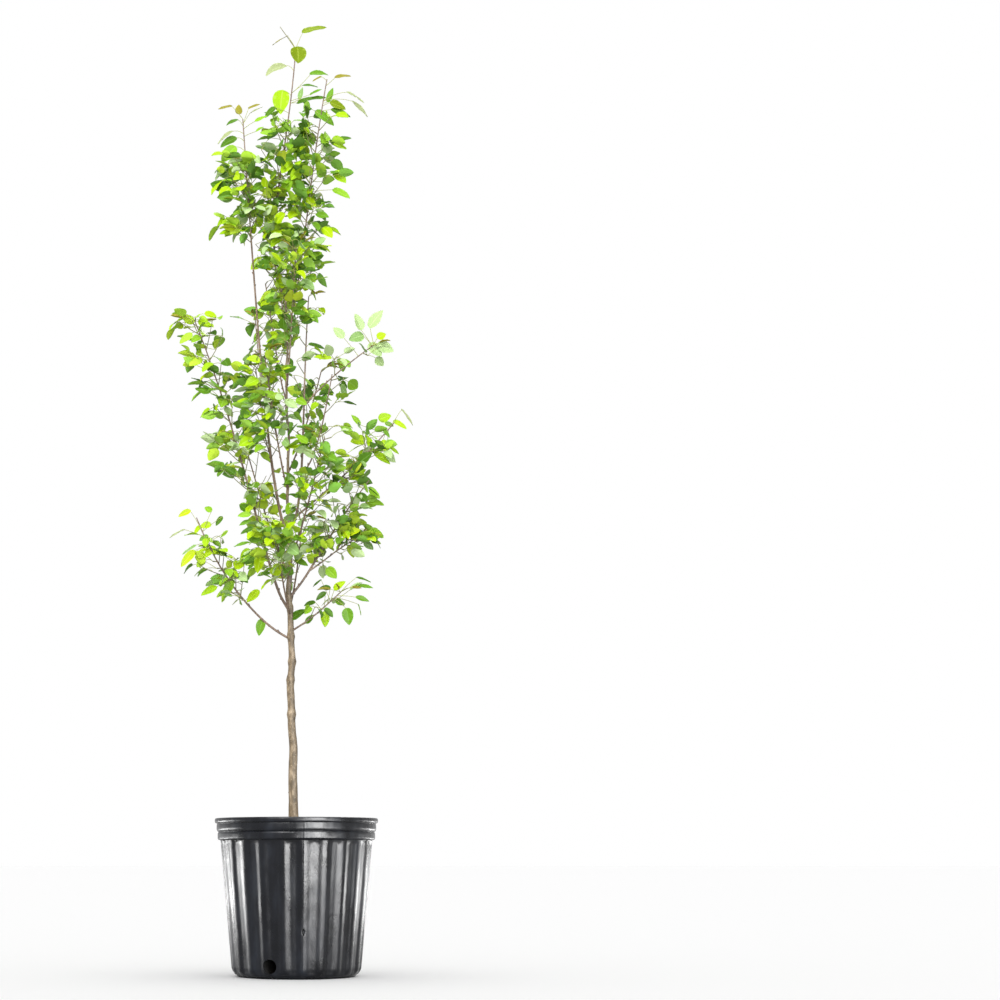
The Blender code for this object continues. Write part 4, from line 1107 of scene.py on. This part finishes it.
class Mass:
    """The finer growth of one limb: side shoots, spurs and leaves."""

    def __init__(self, limb, whole, line, crown):
        self.name = f"{limb.name}_leaves"
        self.limb = limb
        self.whole = whole
        self.line = line
        self.crown = crown
        self.mix = TINT_MIXES[LIMB_MIX.get(limb.name, "sunny")]
        self.habit = HABITS.get(limb.name, USUAL_HABIT)
        self.chance = random.Random(f"{self.name} {SEED}")
        self.low, self.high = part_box(self.name)
        self.leaves = []
        self.twigs = []

    def within(self, point):
        return all(self.low[i] - REACH_AIR < point[i] < self.high[i] + REACH_AIR for i in range(3))

    def spray_tint(self):
        """Tint of one spray, dealt out by the shares of the limb's mix."""
        names, shares = zip(*self.mix)
        return TINT_NAMES.index(self.chance.choices(names, shares)[0])

    def leaf_tint(self, tint):
        """The spray's tint, but for some leaves of their own."""
        return self.spray_tint() if self.chance.random() < OWN_TINT else tint

    def try_leaf(self, place, outward, tint, young):
        """One leaf: it stands away from its twig, and faces up and away from the trunk."""
        chance = self.chance
        light = Vector((place.x - TRUNK_OFFSET - TRUNK_LEAN, place.y, 0.0)) / LIGHT_DISTANCE
        light *= min(1.0, 1.0 / max(light.length, 0.001))
        flat = Vector((outward.x, outward.y, 0.0)) + TOWARD_LIGHT * light
        heading = math.degrees(math.atan2(flat.y, flat.x)) + chance.uniform(-LEAF_JITTER, LEAF_JITTER)
        faced = -math.degrees(math.atan2(FACE_OUT * light.dot(heading_vector(heading + 90.0)), 1.0))
        up_tree = (place.z - BLADE_LEVELS[0]) / (BLADE_LEVELS[1] - BLADE_LEVELS[0])
        size = (LOW_BLADE + (HIGH_BLADE - LOW_BLADE) * smooth(up_tree)) * chance.uniform(*BLADE_SPREAD)
        if young:
            size *= chance.uniform(*YOUNG_SIZE)
        leaf = Leaf(
            tuple(place), heading, chance.uniform(*STALK_LIFT), chance.uniform(*STALK_LENGTH), size,
            chance.uniform(*(YOUNG_WIDTH if young else BLADE_WIDTH)),
            chance.uniform(*(YOUNG_START if young else BLADE_START)), chance.uniform(*BLADE_ARCH),
            chance.uniform(*(YOUNG_FOLD if young else BLADE_FOLD)), faced + chance.gauss(0.0, BLADE_TILT),
            chance.uniform(-BLADE_TWIST, BLADE_TWIST), chance.uniform(*WAVE_SHARE) * BLADE_WAVE,
            chance.uniform(0.0, FULL_PHASE), tint)
        spine = leaf_spine(leaf)
        middle, tip = Vector(spine[0][4]), Vector(spine[0][-1])
        if self.crown.owner(middle) != self.name or not (self.within(middle) and self.within(tip)):
            return False
        if not (self.crown.clear(middle) and self.crown.clear(tip)):
            return False
        if any(in_sky(Vector(spine[0][row])) for row in SKY_ROWS):
            return False
        self.leaves.append((leaf, spine))
        return True

    def add_leaf(self, place, along, turn, tint, young=False, forward=LEAF_FORWARD):
        """A leaf at a bud, turned on round its twig where its first side is taken."""
        for attempt in range(TRIES):
            side = side_of(along, turn + attempt * RETRY_TURN)
            if self.try_leaf(place, side + forward * along, tint, young):
                return

    def add_rosette(self, place, along, turn, tint):
        """Leaves that spread from one bud, some to the side and some ahead."""
        count = self.chance.randint(*ROSETTE)
        for number in range(count):
            around = turn + 360.0 * number / count + self.chance.uniform(-ROSETTE_JITTER, ROSETTE_JITTER)
            own = self.leaf_tint(tint)
            self.add_leaf(place, along, around, own, forward=self.chance.uniform(*ROSETTE_FORWARD))

    def add_shoot(self, place, along, turn, length, tint):
        """A side shoot that bends up, with single leaves along it and a rosette at its tip."""
        for attempt in range(TRIES):
            side = side_of(along, turn + attempt * RETRY_TURN)
            ahead = (side + SHOOT_FORWARD * along + SHOOT_RISE * UP).normalized()
            middle = place + 0.6 * length * ahead
            end = place + length * (ahead + SHOOT_CURL * UP)
            if self.crown.owner(middle) == self.name and self.crown.clear(middle) and not in_sky(end):
                break
        else:
            return
        first = place + 0.5 * length * ahead
        line, radii = bent(place, first, end, SHOOT_STEPS), taper(*SHOOT_RADIUS, SHOOT_STEPS)
        self.twigs.append((line, radii))
        count = max(1, round(length / NODE_STEP))
        for i in range(1, count):
            spot, way, _ = on_line((line, radii), i / count)
            self.add_leaf(spot, way, BUD_TURN * i, self.leaf_tint(tint))
        self.add_rosette(end, (end - first).normalized(), turn, tint)

    def add_spur(self, place, along, turn, radius, tint):
        """A short knobbly spur with a rosette at its end."""
        out = (side_of(along, turn) + SPUR_FORWARD * along).normalized()
        end = place + (radius + self.chance.uniform(*SPUR_LENGTH)) * out
        thick, thin = SPUR_RADIUS
        line = [place, place.lerp(end, 0.5 * SPUR_WAIST), place.lerp(end, SPUR_WAIST), end]
        self.twigs.append((line, [thick, SPUR_WAIST * thick, thick, thin]))
        self.add_rosette(end, out, turn, tint)

    def add_lone_leaf(self, row):
        """A leaf in its own place, on a stalk that bows up from the stem."""
        chance = self.chance
        root = at_height(self.whole, row.root)
        base = Vector((row.base_x, root.y + chance.uniform(-LONE_DEPTH, LONE_DEPTH), row.base_z))
        run = Vector((row.tip_x - row.base_x, 0.0, row.tip_z - row.base_z))
        if row.width == 0.0:
            self.twigs.append(([root, root + 0.5 * run, root + run], [*LONE_STALK, LONE_STALK[1]]))
            return
        angle = math.degrees(math.atan2(run.z, abs(run.x)))
        heading = (0.0 if run.x > 0.0 else 180.0) + chance.uniform(-LONE_TURN, LONE_TURN)
        leaf = Leaf(
            tuple(root), heading, 0.0, 0.0, run.length, row.width,
            angle + LONE_LIFT * row.arch, row.arch, chance.uniform(*LONE_FOLD),
            math.copysign(90.0 * row.facing, run.x), 0.0, 0.5 * BLADE_WAVE, chance.uniform(0.0, FULL_PHASE),
            TINT_NAMES.index(row.tint))
        points, directions, sides, faces_up, _ = leaf_spine(leaf)
        points += np.array(base) - points[0]
        first = root.lerp(base, 0.5) + row.bow * UP
        self.leaves.append((leaf, (points, directions, sides, faces_up, first)))

    def grow(self):
        """Side shoots and spurs round the stem, place by place, and young leaves at its tip."""
        turn = self.chance.uniform(0.0, 360.0)
        places = round(self.habit.density * self.limb.buds)
        for number in range(places):
            share = self.habit.leafed * (number + self.chance.uniform(0.2, 0.8)) / places
            place, along, radius = on_line(self.line, share)
            turn += BUD_TURN + self.chance.uniform(-BUD_JITTER, BUD_JITTER)
            tint = self.spray_tint()
            if number % SHOOT_EVERY == 0:
                length = self.limb.spread * self.chance.uniform(*SHOOT_SHARE)
                self.add_shoot(place, along, turn, length * (1.0 - SHOOT_TAPER * share), tint)
            else:
                self.add_spur(place, along, turn, radius, tint)
        if self.habit.leafed == 1.0:
            tip, along, _ = on_line(self.line, 1.0)
            for number in range(3):
                self.add_leaf(tip, along, turn + 120.0 * number, 0, young=True)
        for row in LONE_LEAVES.get(self.limb.name, ()):
            self.add_lone_leaf(LoneLeaf(*row))


# Leaf tints: name, upper side, underside. The first is the young leaves' bronze.
TINTS = (
    ("young_bronze", "6c681e", "7a762a"),
    ("yellow_green", "92a60a", "a0b030"),
    ("lime_green", "88a60a", "98b234"),
    ("bright_green", "7ea00e", "8aac34"),
    ("fresh_green", "6e941e", "7aa03a"),
    ("deep_green", "547a1c", "628c36"),
    ("dark_green", "3e6014", "50742c"),
    ("olive_green", "5e700c", "748428"),
    # pale_green is partly the leaves' own paler tone and partly painted highlight.
    ("pale_green", "8ea66e", "9eb280"),
    ("grey_green", "6e8c4e", "84a066"),
    ("dusty_green", "808a60", "8e966e"),
)
TINT_NAMES = [name for name, _, _ in TINTS]
# The washed mix is a painted highlight: pale leaves that stand for leaves washed out by strong light.
TINT_MIXES = {
    "sunny": (("yellow_green", 1), ("lime_green", 6), ("bright_green", 6), ("fresh_green", 6),
              ("deep_green", 5), ("dark_green", 3), ("pale_green", 4), ("grey_green", 2)),
    "shaded": (("lime_green", 2), ("bright_green", 4), ("fresh_green", 5), ("deep_green", 5),
               ("dark_green", 5), ("pale_green", 2), ("grey_green", 2)),
    "washed": (("pale_green", 6), ("lime_green", 1), ("grey_green", 2), ("dusty_green", 1)),
}
# right_high takes the washed mix: painted highlight.
LIMB_MIX = {"low_right": "shaded", "low_back": "shaded", "top_right": "shaded",
            "mid_back": "shaded", "right_high": "washed"}
# How densely a limb breaks, and the share of its leafy stretch where this rule holds. Beyond it
# stand its single leaves, or none.
Habit = namedtuple("Habit", "density leafed")
USUAL_HABIT = Habit(DENSE, 1.0)
HABITS = {
    "low_left": Habit(EVEN, 0.60),
    "low_right": Habit(SPARSE, 1.0),
    "low_back": Habit(EVEN, 1.0),
    "back_left": Habit(EVEN, 1.0),
    "mid_back": Habit(EVEN, 1.0),
    "right_rising": Habit(EVEN, 0.62),
    "leader_right": Habit(OPEN, 1.0),
    "right_inner": Habit(OPEN, 1.0),
    "right_high": Habit(SPARSE, 1.0),
    "left_upper": Habit(OPEN, 1.0),
    "right_fork": Habit(DENSE, 0.72),
    "crown_top": Habit(DENSE, 0.68),
    "top_right": Habit(DENSE, 0.78),
    "leader_left": Habit(DENSE, 0.62),
}


def split_line(line, share):
    """The bare and the leafy stretch of a limb."""
    points, radii = line
    if share == 0.0:
        return None, line
    cut = max(1, round(share * (len(points) - 1)))
    return (points[:cut + 1], radii[:cut + 1]), (points[cut:], radii[cut:])


def make_tree():
    """The trunk, the limbs and everything that grows on them."""
    old_bark = pear_bark("pear_bark_on_trunk", ("3f3628", "665844", "968670"), 0.62)
    limb_bark = pear_bark("pear_bark_on_limbs", ("44352a", "625042", "7d6a58"), 0.58)
    green_wood = pear_bark("pear_wood_of_this_year", ("4c4a2c", "60603c", "76744e"), 0.50)
    finishes = []
    for name, upper, under in TINTS:
        finishes.append(plain(f"pear_leaf_{name}_waxy", upper, 0.42, 0.05))
        finishes.append(plain(f"pear_leaf_{name}_midrib", under, 0.50, 0.05))
        finishes.append(plain(f"pear_leaf_{name}_underside_matt", under, 0.70, 0.03))
    finishes.append(plain("pear_leaf_stalk", "80863e", 0.50, 0.2))

    coarse = {"trunk": trunk_line()}
    stems, grown = {}, []
    pile = Pile([old_bark])
    bark_tube(pile, finer(trunk_line(FINE_TRUNK_RINGS), TRUNK_STEP), TRUNK_SIDES, TRUNK_RELIEF, TRUNK_GRAIN)
    bud_scars(pile, coarse["trunk"], TRUNK_SCARS, random.Random("trunk buds"))
    hand_over(pile.make("trunk_bark", 60.0), "bark", "trunk")
    for limb in LIMBS + (CROWN_TOP,):
        line = limb_line(limb, coarse["trunk"] if limb is CROWN_TOP else coarse[limb.parent])
        coarse[limb.name] = line
        bare, rest = split_line(line, limb.bare)
        if limb is CROWN_TOP:
            rest = (rest[0][:-1], rest[1][:-1])     # here the last leaves' stalks go on to the top
        if bare:
            pile = Pile([limb_bark])
            bark_tube(pile, finer(bare, LIMB_STEP), LIMB_SIDES, LIMB_RELIEF)
            scars = max(2, round(len(bare[0]) * LIMB_SCARS))
            bud_scars(pile, bare, scars, random.Random(f"{limb.name} buds"))
            hand_over(pile.make(f"{limb.name}_bark", 60.0), "bark", limb.name)
        stems[f"{limb.name}_leaves"] = rest
        grown.append((limb, rest))
    crown = Crown(coarse, stems)
    for limb, rest in grown:
        mass = Mass(limb, coarse[limb.name], rest, crown)
        mass.grow()
        wood = Pile([limb_bark, green_wood])
        bark_tube(wood, finer(rest, STEM_STEP), STEM_SIDES, STEM_RELIEF)
        for twig in mass.twigs:
            bark_tube(wood, twig, TWIG_SIDES, slot_number=1)
        hand_over(wood.make(f"{limb.name}_twigs", 60.0), "bark")
        leaves = Pile(finishes)
        for leaf, spine in mass.leaves:
            add_blade(leaves, leaf, spine)
            add_stalk(leaves, leaf, spine, 3 * len(TINTS))
        hand_over(leaves.make(f"{limb.name}_foliage", 50.0), "leaves", f"{limb.name}_leaves")


# Camera, floor and light

def make_camera():
    """The photograph's view: low, near the pot, and looking a little up."""
    lens = bpy.data.cameras.new("camera")
    lens.sensor_width = 36.0
    lens.lens = CAMERA_LENS
    lens.shift_x = FRAME_SHIFT
    camera = bpy.data.objects.new("camera", lens)
    camera.location = CAMERA_PLACE
    camera.rotation_euler = (math.radians(90.0 + CAMERA_PITCH), 0.0, 0.0)
    bpy.context.scene.collection.objects.link(camera)
    bpy.context.scene.camera = camera


# Soft boxes: name, place, what each is turned to, width, height, watts, and what of it shows
BOTH, GLOSS, NO_GLOSS = (True, True), (False, True), (True, False)
LAMPS = (
    ("front_soft_box", (-1.3, -3.2, 2.9), (0.0, 0.0, 0.9), 1.4, 1.4, 190.0, BOTH),
    ("fill_beside_the_camera", (-0.3, -4.2, 1.1), (0.0, 0.0, 1.0), 1.6, 1.6, 125.0, NO_GLOSS),
    ("high_soft_box", (0.3, -0.5, 5.6), (0.0, 0.0, 1.0), 2.0, 2.0, 110.0, BOTH),
    ("back_soft_box", (0.6, 2.6, 2.8), (0.0, 0.0, 1.0), 1.6, 1.6, 60.0, BOTH),
    ("gloss_box_tall", (1.04, -1.95, 1.0), (0.0, 0.0, 0.3), 0.8, 2.0, 220.0, GLOSS),
    ("gloss_box_right", (0.55, -0.90, 0.07), (0.0, 0.0, 0.12), 1.0, 0.13, 19.0, GLOSS),
    ("gloss_box_back_left", (-1.00, 0.40, 0.07), (0.0, 0.0, 0.12), 0.9, 0.13, 8.5, GLOSS),
    ("gloss_box_back_right", (0.90, 0.60, 0.07), (0.0, 0.0, 0.12), 0.9, 0.13, 4.5, GLOSS),
)


def make_light(name, place, aim, width, height, power, shows):
    """A soft box that lights all but the floor. Some show as gloss alone, and one not as gloss."""
    lamp = bpy.data.lights.new(name, "AREA")
    lamp.shape = "RECTANGLE"
    lamp.size = width
    lamp.size_y = height
    lamp.energy = power
    box = bpy.data.objects.new(name, lamp)
    box.location = place
    box.rotation_euler = (Vector(aim) - Vector(place)).to_track_quat("-Z", "Y").to_euler()
    box.visible_diffuse, box.visible_glossy = shows
    box.visible_camera = False
    box.light_linking.receiver_collection = bpy.data.collections["lit_by_the_studio_alone"]
    bpy.context.scene.collection.objects.link(box)


def make_studio():
    """White floor, even white light all round, soft boxes before, above and behind, and boxes for gloss."""
    scene = bpy.context.scene
    scene.view_settings.view_transform = "Standard"
    world = bpy.data.worlds.new("white_studio")
    world.use_nodes = True
    world.node_tree.nodes["Background"].inputs["Color"].default_value = linear("ffffff")
    world.node_tree.nodes["Background"].inputs["Strength"].default_value = 1.0
    scene.world = world
    paper = plain("matt_white_paper", "fdfdfd", 0.9)
    bpy.ops.mesh.primitive_circle_add(vertices=128, radius=80.0, fill_type="NGON")
    floor = bpy.context.object
    floor.name = "floor"
    floor.data.materials.append(paper)
    unlit = bpy.data.collections.new("lit_by_the_studio_alone")
    unlit.objects.link(floor)
    unlit.collection_objects[0].light_linking.link_state = "EXCLUDE"
    for row in LAMPS:
        make_light(*row)


make_camera()
make_studio()
# The second plastic is the nick's: dull, and near-black as painted shade.
make_pot(blow_moulded_polyethylene(), plain("black_polyethylene_torn_and_dull", "030304", 0.9, 0.05))
make_soil([
    bark_and_peat_mix("composted_bark_and_peat_dry", ("1a120c", "38281c", "5d4630")),
    # The second mix is painted shade: near-black soil low in the pot.
    bark_and_peat_mix("composted_bark_and_peat_wet", ("040302", "090706", "120e0b")),
], [
    bark_chip("pine_bark_chip_dark", ("241710", "4a3322")),
    bark_chip("pine_bark_chip_brown", ("3e2a1b", "70523a")),
])
make_tree()
